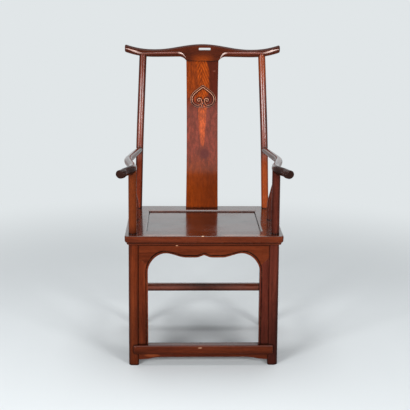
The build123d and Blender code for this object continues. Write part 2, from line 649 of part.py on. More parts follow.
def board_hollow(outer, run, turn, edge_low, edge_high):
    """Prism under a board: level in the middle, curving down over the last run at each end."""
    near = outer - run
    bend = near + run * turn
    bottom = edge_low - FAR
    lines = [Line((-near, edge_high), (near, edge_high)), Line((-outer, bottom), (outer, bottom))]
    for sign in (LEFT, RIGHT):
        lines.append(Bezier((sign * near, edge_high), (sign * bend, edge_high),
                            (sign * bend, edge_low), (sign * outer, edge_low)))
        lines.append(Line((sign * outer, edge_low), (sign * outer, bottom)))
    return extrude(Plane.XZ * make_face(Wire.combine(lines)[0]), FAR, both=True)


def back_apron():
    """Plain board under the back rail with a small bracket at each end."""
    foot = SEAT_BOTTOM - BACK_BRACKET_DROP
    sheet = end_slab(BACK, APRON_THICK, foot, SEAT_BOTTOM)
    hollow = board_hollow(leg_inner(BACK, SEAT_BOTTOM), BACK_BRACKET_WIDTH, BRACKET_TURN,
                          foot, SEAT_BOTTOM - BACK_APRON_HEIGHT)
    return one_solid(leg_limits(sheet, 0) + end_tongues(BACK, foot) - hollow)


def foot_apron():
    """Low board under the foot rail, with a shallow hollow along its lower edge."""
    top = FOOT_RAIL_TOP - FOOT_RAIL_HEIGHT
    inner = leg_inner(FRONT, 0)
    sheet = leg_limits(end_slab(FRONT, APRON_THICK, FOOT_APRON_END, top), 0)
    tongues = end_slab(FRONT, APRON_TONGUE_THICK, FOOT_APRON_END, top, half=inner + APRON_TONGUE)
    hollow = board_hollow(inner, FOOT_APRON_END_RUN, FOOT_APRON_TURN, FOOT_APRON_END, FOOT_APRON_MIDDLE)
    return one_solid(sheet + leg_limits(tongues, APRON_TONGUE) - hollow)


# --- stretchers -------------------------------------------------------------------------
def end_tenons(end, z_middle, clearance):
    """Tenons of a rail between the two front or the two back legs."""
    x, y = leg_centre(RIGHT, end, z_middle)
    tip = x - LEG_HALF + RAIL_TENON_LENGTH + (END_GAP if clearance else 0)
    thick, high = RAIL_TENON_THICK / 2 + clearance, RAIL_TENON_HEIGHT / 2 + clearance
    return block((-tip, tip), (y - thick, y + thick), (z_middle - high, z_middle + high))


def side_tenons(side, z_middle, clearance):
    """Tenons of a stretcher between the front and back legs of one side."""
    x, front = leg_centre(side, FRONT, z_middle)
    back = leg_centre(side, BACK, z_middle)[1]
    extra = RAIL_TENON_LENGTH - LEG_HALF + (END_GAP if clearance else 0)
    thick, high = RAIL_TENON_THICK / 2 + clearance, RAIL_TENON_HEIGHT / 2 + clearance
    return block((x - thick, x + thick), (front - extra, back + extra), (z_middle - high, z_middle + high))


def foot_rail(legs):
    """Front stretcher, a step for the feet, whose ears wrap round the fronts of the legs."""
    z_middle = FOOT_RAIL_TOP - FOOT_RAIL_HEIGHT / 2
    face_y = leg_centre(RIGHT, FRONT, z_middle)[1] - LEG_HALF - FOOT_RAIL_PROUD
    middle = (0, face_y + FOOT_RAIL_DEPTH / 2, z_middle)
    plan = Rectangle(2 * (leg_inner(FRONT, z_middle) + FOOT_RAIL_EAR), FOOT_RAIL_DEPTH)
    plan = fillet(plan.vertices().group_by(Axis.Y)[0], FOOT_RAIL_END_ROUND)
    bar = extrude(plan, FOOT_RAIL_HEIGHT / 2, both=True)
    front_edges = [edge for edge in bar.edges() if edge.center().Y < 0 and abs(edge.center().Z) > OVERLAP]
    bar = Pos(*middle) * fillet(front_edges, FOOT_RAIL_ROUND)
    for side in SIDES:
        bar = bar - legs[side]
    tenons = end_tenons(FRONT, z_middle, 0)
    return one_solid(one_solid(bar) + tenons)


def side_stretcher(side, legs):
    """Stretcher between the front and back legs of one side."""
    z_middle = SIDE_STRETCHER_TOP - STRETCHER_HEIGHT / 2
    x, front = leg_centre(side, FRONT, z_middle)
    back = leg_centre(side, BACK, z_middle)[1]
    bar = rounded_bar("Y", (x, (front + back) / 2, z_middle), back - front, STRETCHER_THICK, STRETCHER_HEIGHT,
                      STRETCHER_ROUND)
    for leg in legs:
        bar = bar - leg
    return one_solid(one_solid(bar) + side_tenons(side, z_middle, 0))


def back_stretcher(legs):
    """Highest stretcher, between the back legs."""
    z_middle = BACK_STRETCHER_TOP - STRETCHER_HEIGHT / 2
    x, y = leg_centre(RIGHT, BACK, z_middle)
    bar = rounded_bar("X", (0, y, z_middle), 2 * x, STRETCHER_THICK, STRETCHER_HEIGHT, STRETCHER_ROUND)
    for leg in legs:
        bar = bar - leg
    return one_solid(one_solid(bar) + end_tenons(BACK, z_middle, 0))


# --- legs and posts ---------------------------------------------------------------------
def leg_and_post(side, end, post):
    """A leg in one timber with the post above it, with its apron grooves and stretcher mortises."""
    leg = one_solid(leg_prism(side, end, 0, SEAT_BOTTOM) + post)
    groove = APRON_TONGUE_THICK + 2 * FIT
    depth = APRON_TONGUE + END_GAP
    high = SEAT_BOTTOM + OVERLAP
    if end == FRONT:
        low = FOOT_APRON_END
        z_middle = FOOT_RAIL_TOP - FOOT_RAIL_HEIGHT / 2
    else:
        low = SEAT_BOTTOM - BACK_BRACKET_DROP
        z_middle = BACK_STRETCHER_TOP - STRETCHER_HEIGHT / 2
    leg -= leg_limits(end_slab(end, groove, low, high, half=leg_inner(end, 0) + 2 * depth), depth)
    leg -= side_limits(side_slab(side, groove, SIDE_STRETCHER_TOP, high, reach=2 * depth), depth)
    leg -= end_tenons(end, z_middle, FIT)
    leg -= side_tenons(side, SIDE_STRETCHER_TOP - STRETCHER_HEIGHT / 2, FIT)
    return one_solid(leg)


def front_post(side, arm):
    """Front leg and arm post in one timber, hollowed at the top to seat the arm."""
    low = SEAT_BOTTOM - POST_ROOT
    x, y = front_post_centre(side, low)
    circle = Pos(x, y, 0) * Circle(FRONT_POST_RADIUS)
    post = slanted(circle, low, ARM_Z - ARM_SEAT_DROP, -side * SPLAY_X, SPLAY_Y)
    post = one_solid(post - arm) + front_post_tenon(side, 0)
    return leg_and_post(side, FRONT, post)


def front_post_tenon(side, clearance):
    """Round tenon from the front post up into the arm."""
    x, y = front_post_centre(side, ARM_Z)
    base = (x, y, ARM_Z - ARM_GRIP_RADIUS - POST_TENON_LENGTH / 2)
    tip = (x, y, ARM_Z + ARM_GRIP_RADIUS - POST_TENON_RADIUS + (END_GAP if clearance else 0))
    return rod(base, tip, POST_TENON_RADIUS + clearance)


def back_post_points(side):
    """Middle line of a back post: inside the leg's top, at its bend and at the crest rail."""
    slope_x = BACK_POST_BEND_LEAN_X / BACK_POST_BEND_HEIGHT
    slope_y = BACK_POST_BEND_LEAN_Y / BACK_POST_BEND_HEIGHT
    depth = SEAT_HEIGHT - SEAT_BOTTOM + POST_ROOT
    bend_x = BACK_POST_SPREAD - BACK_POST_BEND_LEAN_X
    bend_y = BACK_POST_SETBACK + BACK_POST_BEND_LEAN_Y
    foot_x = BACK_POST_SPREAD + slope_x * depth
    foot_y = BACK_POST_SETBACK - slope_y * depth
    return ((side * foot_x, foot_y, SEAT_HEIGHT - depth),
            (side * bend_x, bend_y, SEAT_HEIGHT + BACK_POST_BEND_HEIGHT),
            (side * BACK_POST_TOP_SPREAD, CREST_Y, CREST_Z))


def back_post_body(side):
    """The round upper part of a back post."""
    path = FilletPolyline(*back_post_points(side), radius=BACK_POST_BEND_RADIUS)
    section = Plane(path @ 0, z_dir=path % 0) * Circle(BACK_POST_RADIUS)
    return one_solid(sweep(section, path=path))


def back_post_tenon(side, clearance):
    """Round tenon from the top of the back post up into the crest rail."""
    bend, top = (Vector(*point) for point in back_post_points(side)[1:])
    along = (top - bend).normalized()
    base = top - along * (CREST_RADIUS + POST_TENON_LENGTH)
    tip = top + along * (END_GAP if clearance else 0)
    return rod(base, tip, POST_TENON_RADIUS + clearance)


def back_post(side, crest):
    """Back leg and back post in one timber."""
    post = one_solid(back_post_body(side) - crest)
    post = post + back_post_tenon(side, 0) - arm_back_tenon(side, FIT)
    return leg_and_post(side, BACK, post)


# --- arms -------------------------------------------------------------------------------
def arm_path(side):
    """Middle line of an arm, from inside the back post to the end of the grip."""
    post_x, post_y = front_post_centre(RIGHT, ARM_Z)
    start = back_post_at(ARM_Z)
    points = (start,
              (LEG_SPREAD + ARM_OUT_BULGE, ARM_OUT_Y, ARM_Z),
              (post_x - ARM_IN_SHIFT_X, post_y + ARM_IN_SHIFT_Y, ARM_Z),
              (post_x + GRIP_SPLAY, post_y - GRIP_REACH, ARM_Z))
    points = [(side * x, y, z) for x, y, z in points]
    return FilletPolyline(*points, radius=(ARM_OUT_BEND_RADIUS, ARM_IN_BEND_RADIUS))


def back_post_at(z):
    """Point on the middle line of the right-hand back post, below its bend."""
    low, bend, _top = (Vector(*point) for point in back_post_points(RIGHT))
    share = (z - low.Z) / (bend.Z - low.Z)
    point = low + (bend - low) * share
    return point.X, point.Y, z


def arm_radius(place):
    """Radius of the arm along its length: it thickens forwards to the grip."""
    if place < 0.5:
        return ARM_BACK_RADIUS + (ARM_MIDDLE_RADIUS - ARM_BACK_RADIUS) * 2 * place
    return ARM_MIDDLE_RADIUS + (ARM_GRIP_RADIUS - ARM_MIDDLE_RADIUS) * (2 * place - 1)


def arm_body(side):
    """The arm before it is fitted to its posts."""
    body = round_bar(arm_path(side), arm_radius, ARM_STATIONS, (0, 0, 1))
    grip_edge = body.edges().sort_by(Axis.Y)[0]
    return one_solid(fillet(grip_edge, GRIP_END_ROUND))


def arm_back_tenon(side, clearance):
    """Round tenon from the back end of the arm into the back post."""
    path = arm_path(side)
    start, along = path @ 0, path % 0
    tip = start + along * (-END_GAP if clearance else 0)
    return rod(tip, start + along * (BACK_POST_RADIUS + POST_TENON_LENGTH), POST_TENON_RADIUS + clearance)


def arm(side, body, back_body):
    """Arm fitted round the back post, with mortises for the front and side posts."""
    piece = one_solid(body - back_body) + arm_back_tenon(side, 0)
    piece = piece - front_post_tenon(side, FIT) - side_post_arm_tenon(side, FIT)
    return one_solid(piece)


def side_post_path(side):
    """Middle line of a side post, from the side rail up to the arm."""
    meeting = arm_path(side) @ SIDE_POST_ARM_PLACE
    foot = Vector(side * (SEAT_WIDTH / 2 - SIDE_POST_FOOT_INSET), SIDE_POST_FOOT_Y, SEAT_HEIGHT)
    across, forward = meeting.X - foot.X, meeting.Y - foot.Y
    low = foot + Vector(-side * SIDE_POST_BELLY, forward * SIDE_POST_LOW_FORWARD, SIDE_POST_LOW_BEND)
    high = foot + Vector(across * SIDE_POST_HIGH_OUT, forward * SIDE_POST_HIGH_FORWARD, SIDE_POST_HIGH_BEND)
    return FilletPolyline(foot, low, high, meeting, radius=SIDE_POST_BEND_RADIUS)


def side_post_foot_tenon(side, clearance):
    """Round tenon from the foot of the side post into the side rail."""
    start = side_post_path(side) @ 0
    low = start.Z - SIDE_POST_TENON_LENGTH - (END_GAP if clearance else 0)
    root = start.Z + SIDE_POST_TENON_RADIUS
    return rod((start.X, start.Y, low), (start.X, start.Y, root), SIDE_POST_TENON_RADIUS + clearance)


def side_post_arm_tenon(side, clearance):
    """Round tenon from the top of the side post into the arm."""
    path = side_post_path(side)
    top, along = path @ 1, path % 1
    tip = top + along * (END_GAP if clearance else 0)
    base = top - along * (ARM_MIDDLE_RADIUS + SIDE_POST_TENON_LENGTH)
    return rod(base, tip, SIDE_POST_TENON_RADIUS + clearance)


def side_post_radius(place):
    """Radius of a side post along its length: it thins upwards."""
    return SIDE_POST_FOOT_RADIUS + (SIDE_POST_TOP_RADIUS - SIDE_POST_FOOT_RADIUS) * place


def side_post(side, arm_shape):
    """Slender curved post between the side rail and the arm."""
    path = side_post_path(side)
    body = round_bar(path, side_post_radius, SIDE_POST_STATIONS, (1, 0, 0))
    body = body - block((-FAR, FAR), (-FAR, FAR), (0, SEAT_HEIGHT))
    body = one_solid(body - arm_shape)
    return one_solid(body + side_post_foot_tenon(side, 0) + side_post_arm_tenon(side, 0))


# --- crest rail and splat ---------------------------------------------------------------
def crest_section(x, y, z, depth, height, squareness):
    """Upright section of the crest rail, an oval that squareness fills towards a box."""
    points = []
    for index in range(CREST_SECTION_POINTS):
        direction = Vector(1, 0).rotate(Axis.Z, 360 * index / CREST_SECTION_POINTS)
        reach = (abs(direction.X) ** squareness + abs(direction.Y) ** squareness) ** (-1 / squareness)
        points.append((direction.X * reach * depth / 2, direction.Y * reach * height / 2))
    outline = make_face(Spline(*points, periodic=True))
    return Plane((x, y, z), x_dir=(0, 1, 0), z_dir=(1, 0, 0)) * outline


def crest_station(x):
    """Section of the yoke at a distance x from its middle, as the values of crest_section."""
    size = 2 * CREST_RADIUS
    bow = CREST_Y + CREST_BOW * (1 - (x / BACK_POST_TOP_SPREAD) ** 2)
    if x <= CREST_SAG_SPREAD:
        share = (1 + cos(pi * x / CREST_SAG_SPREAD)) / 2    # of the headrest's shape, 1 in the middle
        middle = CREST_Z + share * (CREST_TOP_RISE - CREST_BODY_DROP) / 2
        height = size + share * (CREST_TOP_RISE + CREST_BODY_DROP - size)
        depth = size + share * (CREST_BODY_DEPTH - size)
        return x, bow, middle, depth, height, 2 + share * (CREST_SQUARENESS - 2)
    along = (x - CREST_SAG_SPREAD) / (CREST_HALF - CREST_SAG_SPREAD)
    beyond = max(0, x - BACK_POST_TOP_SPREAD) / CREST_OVERHANG
    y = max(bow, CREST_Y) + CREST_TIP_BACK * beyond ** 2
    return x, y, CREST_Z + CREST_TIP_RISE * along ** CREST_TIP_CURVE, size, size, 2


def crest_body():
    """The yoke: a flat headrest in the middle that runs out into two round arms."""
    headrest_step = CREST_SAG_SPREAD / CREST_STATIONS
    arm_step = (CREST_HALF - CREST_SAG_SPREAD) / CREST_STATIONS
    places = [index * headrest_step for index in range(CREST_STATIONS + 1)]
    places += [CREST_SAG_SPREAD + index * arm_step for index in range(1, CREST_STATIONS + 1)]
    stations = [crest_station(place) for place in places]
    mirrored = [(-station[0], *station[1:]) for station in reversed(stations[1:])]
    body = one_solid(loft([crest_section(*station) for station in mirrored + stations]))
    ends = [body.edges().sort_by(Axis.X)[0], body.edges().sort_by(Axis.X)[-1]]
    return one_solid(fillet(ends, CREST_TIP_ROUND))


def crest_skirt():
    """Lip under the headrest whose curved shoulders run down to the splat's edges."""
    top = CREST_BODY_BOTTOM + CREST_SKIRT_LAP
    high = CREST_BODY_BOTTOM + CREST_SKIRT_FADE
    near, far = SPLAT_TOP_WIDTH / 2, SPLAT_TOP_WIDTH / 2 + CREST_SKIRT_FLARE
    steep = near + CREST_SKIRT_FLARE * CREST_SKIRT_STEEP
    level = near + CREST_SKIRT_FLARE * CREST_SKIRT_LEVEL
    lines = [Line((-near, CREST_LIP), (near, CREST_LIP)), Line((-far, top), (far, top))]
    for sign in (LEFT, RIGHT):
        lines.append(Bezier((sign * near, CREST_LIP), (sign * steep, CREST_BODY_BOTTOM),
                            (sign * level, high), (sign * far, high)))
        lines.append(Line((sign * far, high), (sign * far, top)))
    face = make_face(Wire.combine(lines)[0])
    return Pos(0, SPLAT_HEAD_Y, 0) * extrude(Plane.XZ * face, CREST_SKIRT_THICK / 2, both=True)


def crest_solid():
    """Crest rail with its skirt and its slot, before the mortises."""
    z_middle = CREST_Z + CREST_SLOT_RISE + CREST_SLOT_HEIGHT / 2
    outline = RectangleRounded(CREST_SLOT_WIDTH, CREST_SLOT_HEIGHT, CREST_SLOT_ROUND)
    slot = extrude(Plane.XZ * outline, FAR, both=True)
    return one_solid(crest_body() + crest_skirt() - Pos(CREST_SLOT_SHIFT, 0, z_middle) * slot)


def crest_rail(crest):
    """Crest rail with the mortises for the back posts and the splat."""
    for side in SIDES:
        crest = crest - back_post_tenon(side, FIT)
    return one_solid(crest - splat_head_tongue(FIT))


def splat_path():
    """Middle line of the splat, seen from the side, from the back rail to the crest rail."""
    points = ((0, BACK_POST_SETBACK, SEAT_HEIGHT),
              (0, BACK_POST_SETBACK - SPLAT_LUMBAR_FORWARD, SEAT_HEIGHT + SPLAT_LUMBAR_HEIGHT),
              (0, SPLAT_HEAD_Y - SPLAT_UPPER_FORWARD, SEAT_HEIGHT + SPLAT_UPPER_HEIGHT),
              (0, SPLAT_HEAD_Y, CREST_LIP))
    return FilletPolyline(*points, radius=SPLAT_BEND_RADIUS)


def splat_foot_tongue(clearance):
    """Tongue from the splat down into the back rail."""
    half = SPLAT_BASE_WIDTH / 2 - SPLAT_TONGUE_SHOULDER + clearance
    thick = SPLAT_TONGUE_THICK / 2 + clearance
    low = SEAT_HEIGHT - SPLAT_TONGUE_LENGTH - (END_GAP if clearance else 0)
    y = BACK_POST_SETBACK
    return block((-half, half), (y - thick, y + thick), (low, SEAT_HEIGHT + OVERLAP))


def splat_head_tongue(clearance):
    """Tongue from the splat up into the crest rail."""
    half = SPLAT_TOP_WIDTH / 2 - SPLAT_TONGUE_SHOULDER + clearance
    thick = SPLAT_TONGUE_THICK / 2 + clearance
    high = CREST_LIP + SPLAT_TONGUE_LENGTH + (END_GAP if clearance else 0)
    return block((-half, half), (SPLAT_HEAD_Y - thick, SPLAT_HEAD_Y + thick), (CREST_LIP - OVERLAP, high))


def back_splat():
    """Curved board of the back with a slight waist."""
    path = splat_path()
    blank_width = max(SPLAT_BASE_WIDTH, SPLAT_WAIST_WIDTH, SPLAT_TOP_WIDTH) + 2 * OVERLAP
    section = Plane(path @ 0, x_dir=(1, 0, 0), z_dir=path % 0) * Rectangle(blank_width, SPLAT_THICK)
    board = sweep(section, path=path)
    base, waist, top = SPLAT_BASE_WIDTH / 2, SPLAT_WAIST_WIDTH / 2, SPLAT_TOP_WIDTH / 2
    middle = (SEAT_HEIGHT + CREST_LIP) / 2
    lines = [Line((-base, SEAT_HEIGHT), (base, SEAT_HEIGHT)), Line((-top, CREST_LIP), (top, CREST_LIP))]
    for sign in (LEFT, RIGHT):
        edge = ((sign * base, SEAT_HEIGHT), (sign * waist, middle), (sign * top, CREST_LIP))
        lines.append(ThreePointArc(*edge))
    outline = extrude(Plane.XZ * make_face(Wire.combine(lines)[0]), FAR, both=True)
    board = one_solid(board & outline)
    return one_solid(board + splat_foot_tongue(0) + splat_head_tongue(0))


# --- the whole chair --------------------------------------------------------------------
def build_chair():
    """Every piece of the chair under its node name."""
    crest = crest_solid()
    pieces = {"crest_rail": crest_rail(crest), "back_splat": back_splat()}
    front_legs = {side: leg_prism(side, FRONT, 0, SEAT_BOTTOM) for side in SIDES}
    back_legs = {side: leg_prism(side, BACK, 0, SEAT_BOTTOM) for side in SIDES}
    for side, name in SIDES.items():
        body = arm_body(side)
        pieces[f"arm_{name}"] = arm(side, body, back_post_body(side))
        pieces[f"front_post_{name}"] = front_post(side, body)
        pieces[f"back_post_{name}"] = back_post(side, crest)
        pieces[f"side_post_{name}"] = side_post(side, body)
        pieces[f"side_stretcher_{name}"] = side_stretcher(side, (front_legs[side], back_legs[side]))
        pieces[f"seat_batten_{name}"] = seat_batten(side * BATTEN_SPACING / 2)
        pieces.update(side_aprons(side))
    pieces["seat_panel"] = seat_panel()
    pieces.update(seat_rails())
    pieces.update(front_aprons())
    pieces["back_apron"] = back_apron()
    pieces["foot_rail"] = foot_rail(front_legs)
    pieces["foot_apron"] = foot_apron()
    pieces["back_stretcher"] = back_stretcher(back_legs.values())
    return pieces


def main():
    """Stand the chair on z = 0 with the middle of its box over the origin and write it."""
    os.makedirs("parts", exist_ok=True)
    pieces = build_chair()
    box = Compound(children=[one_solid(piece) for piece in pieces.values()]).bounding_box()
    shift = Pos(-box.center().X, -box.center().Y, -box.min.Z)
    for name, piece in pieces.items():
        export_step(shift * one_solid(piece), f"parts/{name}.step")


main()
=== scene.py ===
import math
import bpy
import numpy as np
from mathutils import Matrix, Vector
from mathutils.bvhtree import BVHTree


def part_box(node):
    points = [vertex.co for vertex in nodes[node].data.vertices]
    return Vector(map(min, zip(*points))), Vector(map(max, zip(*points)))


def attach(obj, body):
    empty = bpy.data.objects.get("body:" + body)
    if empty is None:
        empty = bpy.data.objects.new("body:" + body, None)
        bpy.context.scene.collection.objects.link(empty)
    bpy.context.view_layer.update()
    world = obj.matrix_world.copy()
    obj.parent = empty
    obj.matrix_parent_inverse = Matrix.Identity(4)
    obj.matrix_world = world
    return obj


# The looks of a yoke-back armchair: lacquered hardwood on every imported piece, the carved
# cloud-head on the splat and the arris on the crest rail. Metres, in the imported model's frame.

# A noise is its scale in the frame's metres, its detail and its distortion.
# A band is where an effect starts and where it ends, and after those its strength at both.
# Where a band has two numbers, the strength goes from 0 to 1 or is given where it is used.

# --- camera -----------------------------------------------------------------------------
CAMERA_PLACE = (-0.08848, -3.51665, 1.45658)
CAMERA_YAW = 0.0274        # radians, turned to the right of +Y
CAMERA_PITCH = 0.2455      # radians, downwards
CAMERA_ROLL = 0.0079       # radians
CAMERA_LENS = 81.42        # mm
CAMERA_SENSOR = 36.0       # mm

# --- lights and stage -------------------------------------------------------------------
SKY_COLOUR = (0.92, 0.96, 1.0)
SKY_STRENGTH = 0.20
BACKDROP_COLOUR = (225, 230, 232)
FLOOR_HALF = 80.0
FLOOR_FADE = (0.9, 2.6)    # distance over which the lit floor gives way to the backdrop's colour
FLOOR_NOISE = (3.0, 4.0)
FLOOR_SPECKS = (0.3, 0.7, 0.0, 0.04)
SPECK_DARKER = 12          # how far a speck's colour lies under the backdrop's, of 255
# name, place, aim, width and height, watts
LAMPS = (("key", (-2.0, -2.6, 1.45), (0.0, 0.0, 0.9), (1.1, 0.9), 72.0),
         ("fill", (1.85, -2.75, 1.45), (0.0, 0.0, 0.9), (0.9, 0.8), 52.0),
         ("overhead", (0.0, 0.3, 3.4), (0.0, 0.0, 0.4), (2.6, 2.6), 66.0))

# --- the sRGB curve: a straight foot and a power above it --------------------------------
SRGB_FULL = 255
SRGB_FOOT = 0.04045
SRGB_FOOT_SLOPE = 12.92
SRGB_OFFSET = 0.055
SRGB_POWER = 2.4

# --- woods: sRGB tones from the darkest grain to the lightest ----------------------------
LEFT_LEG = ((72, 26, 8), (106, 43, 18), (126, 56, 26))
RIGHT_LEG = ((60, 22, 14), (90, 38, 27), (112, 50, 36))
REAR_POST = ((84, 28, 12), (124, 49, 25), (154, 68, 40))
SIDE_POST = ((66, 24, 12), (94, 40, 26), (118, 54, 38))
LEFT_APRON = ((78, 27, 8), (108, 44, 20), (128, 55, 27))
RIGHT_APRON = ((66, 24, 14), (92, 38, 27), (112, 48, 34))
APRON_BROWN = ((74, 26, 8), (102, 43, 20), (120, 53, 27))
RAIL_BROWN = ((68, 24, 8), (96, 40, 19), (114, 49, 26))
CREST_BROWN = ((56, 20, 9), (80, 31, 14), (104, 44, 22))
ARM_BROWN = ((52, 24, 15), (84, 41, 26), (108, 56, 38))
SEAT_BROWN = ((42, 20, 13), (66, 32, 23), (88, 46, 35))
FOOT_BROWN = ((58, 22, 8), (84, 33, 16), (108, 47, 23))
SHADE_BROWN = ((46, 18, 10), (74, 32, 19), (96, 44, 28))
# painted highlight along the crest's arris: pale, and faint between
ARRIS_HIGHLIGHT = ((186, 142, 130), (222, 188, 176), (238, 214, 204))
ARRIS_FAINT_HIGHLIGHT = ((96, 44, 30), (122, 64, 50), (140, 80, 66))

# --- single tones of places on a piece ----------------------------------------------------
# dirt, and painted shade: in corners and creases, under the front rail, on the posts' sides, towards the
# floor and on the crest's top
DIRT_AND_SHADE_COLOUR = (24, 8, 5)
WORN_COLOUR = (176, 108, 72)
RAIL_TOP = (64, 27, 15)
# painted highlight on the front rail's rounded edge
RAIL_RIM_HIGHLIGHT = (160, 106, 84)
CREST_HEART = (150, 62, 12)
# painted warm light on the left front leg and the right rear post
WARM_LEG_LIGHT = (146, 68, 30)
WARM_POST_LIGHT = (184, 86, 36)
GRIP_DARK = (34, 16, 10)
# painted highlight along the back stretcher's middle
STRETCHER_HIGHLIGHT = (132, 76, 62)
SPLAT_ORANGE = (162, 68, 18)     # the splat's left side
SPLAT_DARK = (90, 33, 20)        # its right side under the crest
SPLAT_RED = (142, 60, 44)        # its waist
SPLAT_GRAIN = (74, 27, 10)
HEART_ORANGE = (200, 88, 22)     # the splat's heart under the crest
HEART_GLOW = (216, 94, 42)       # the same heart lower down
HEART_VEIN = (124, 44, 8)
CARVE_SHADE = (46, 12, 4)
# painted highlight on the carving's ridges
CARVE_HIGHLIGHT = (226, 162, 132)

# --- each piece's finish: roughness, undercoat gloss, lacquer on upright faces and on tops --
# start of the piece's name, tones, finish
PIECE_LOOKS = (("seat_panel", SEAT_BROWN, (0.20, 0.50, 0.50, 0.70)),
               ("seat_rail", RAIL_BROWN, (0.24, 0.08, 0.00, 1.00)),
               ("back_post_left", REAR_POST, (0.22, 0.03, 0.70, 0.50)),
               ("back_post_right", REAR_POST, (0.22, 0.03, 0.90, 0.60)),
               ("side_post", SIDE_POST, (0.20, 0.06, 0.12, 0.40)),
               ("crest_rail", CREST_BROWN, (0.28, 0.04, 0.08, 0.10)),
               ("arm", ARM_BROWN, (0.20, 0.10, 0.08, 1.00)),
               ("front_post_left", LEFT_LEG, (0.28, 0.04, 0.03, 0.80)),
               ("front_post_right", RIGHT_LEG, (0.28, 0.04, 0.03, 0.80)),
               ("front_apron_left", LEFT_APRON, (0.30, 0.04, 0.02, 0.50)),
               ("front_apron_right", RIGHT_APRON, (0.30, 0.04, 0.02, 0.50)),
               ("front_apron", APRON_BROWN, (0.30, 0.04, 0.02, 0.50)),
               ("back_stretcher", SHADE_BROWN, (0.24, 0.12, 0.45, 0.80)),
               ("side_stretcher", SHADE_BROWN, (0.24, 0.12, 0.35, 0.80)),
               ("foot", FOOT_BROWN, (0.30, 0.04, 0.03, 0.80)))
OTHER_LOOKS = (SHADE_BROWN, (0.30, 0.06, 0.08, 0.80))
SPLAT_FINISH = (0.26, 0.06, 0.80, 0.80)
ARRIS_FINISH = (0.24, 0.20, 0.35, 0.40)
ARRIS_SEED = 5

# --- grain, wear, dirt with painted shade in the joints, and lacquer that every piece has ---
# pieces whose fibres run from front to back, and from side to side
GRAIN_ALONG_Y = ("arm_", "side_stretcher", "seat_batten", "seat_rail_left", "seat_rail_right")
GRAIN_ALONG_X = ("crest", "seat_rail", "seat_panel", "front_apron_top", "back_apron", "foot",
                 "back_stretcher")
GRAIN_STRETCH = 0.07       # the grain's scale along the fibres, as a share of that across them
SEED_SHIFT = (0.37, 0.73, 1.13)  # how far each board's grain is moved from the last one's
FIGURE_NOISE = (26.0, 5.0, 0.8)
FIBRE_NOISE = (240.0, 3.0)
PORE_NOISE = (900.0, 2.0)
BLOTCH_NOISE = (5.0, 3.0)
FIGURE_SHARE = 0.7
FIBRE_SHARE = 0.3
TONE_PLACES = (0.34, 0.5, 0.66)
BLOTCHES = (0.38, 0.66)
BLOTCH_SHARE = 0.3
PORES = (0.36, 0.52, 0.72, 1.0)
DIRT_AND_SHADE_REACH = 0.012         # how far round a joint the dirt and painted shade lie, then the darker line of dirt and painted shade in its crease
CREASE_REACH = 0.006
DIRT_AND_SHADE_OPENNESS = (0.25, 0.95)
CREASE_OPENNESS = (0.60, 0.97)
DIRT_AND_SHADE_SHARE = 0.9
REAR_RAIL_DIRT_AND_SHADE = 0.35
CORNER_SAMPLES = 6
WEAR_RADIUS = 0.0022
WEAR_SAMPLES = 4
WEAR_EDGE = (0.995, 0.86)  # how far the rounded normal agrees with the face's own
WEAR_NOISE = (38.0, 4.0)
WEAR_PATCHES = (0.46, 0.62)
PIECE_WEAR = 0.5
SPLAT_WEAR = 0.3
SMEAR_NOISE = (14.0, 4.0)
SMEARS = (0.3, 0.7)
SMEAR_SMOOTHER = 0.05      # how far the smears take the roughness down, then up
SMEAR_ROUGHER = 0.08
TOP_FACES = (0.3, 0.8)     # how far up a face looks, from an upright face to a top
PORE_RELIEF = 0.03
PORE_DEPTH = 0.0005
# pieces that the mesh already rounds, so that their edges need no rounded normal
ROUND_PIECES = ("back_post", "side_post", "arm_", "crest", "back_splat")
WOOD_IOR = 1.5
COAT_IOR = 1.6
COAT_ROUGHNESS = 0.10
POST_COAT_ROUGHNESS = 0.24

# --- small worn or stained places, and two painted shadows under the arms: piece, point, reach along x, y and z, colour ---
MARKS = (("seat_rail_front", (-0.005, -0.235, 0.516), (0.006, 0.008, 0.003), (216, 176, 140)),
         ("front_apron_top", (-0.101, -0.212, 0.471), (0.005, 0.02, 0.002), (206, 150, 116)),
         ("foot_rail", (-0.013, -0.231, 0.073), (0.008, 0.02, 0.002), (196, 150, 118)),
         ("foot_apron", (0.152, -0.219, 0.030), (0.006, 0.02, 0.002), (190, 140, 108)),
         ("foot_apron", (-0.196, -0.219, 0.038), (0.030, 0.03, 0.007), (122, 58, 30)),
         ("back_splat", (0.010, 0.2, 0.742), (0.020, 1.0, 0.022), (92, 32, 24)),
         ("back_splat", (0.048, 0.2, 1.0695), (0.006, 1.0, 0.002), (122, 70, 56)),
         # painted shadows under the arms' bends, on the front posts
         ("front_post_left", (-0.285, -0.2, 0.769), (0.004, 0.03, 0.004), (30, 14, 12)),
         ("front_post_right", (0.277, -0.2, 0.769), (0.004, 0.03, 0.004), (30, 14, 12)))
MARK_NOISE = (260.0, 2.0)
MARK_RAGGED = 0.6
MARK_EDGE = (1.45, 0.95)   # distance from the point in reaches, with the ragged edge's noise

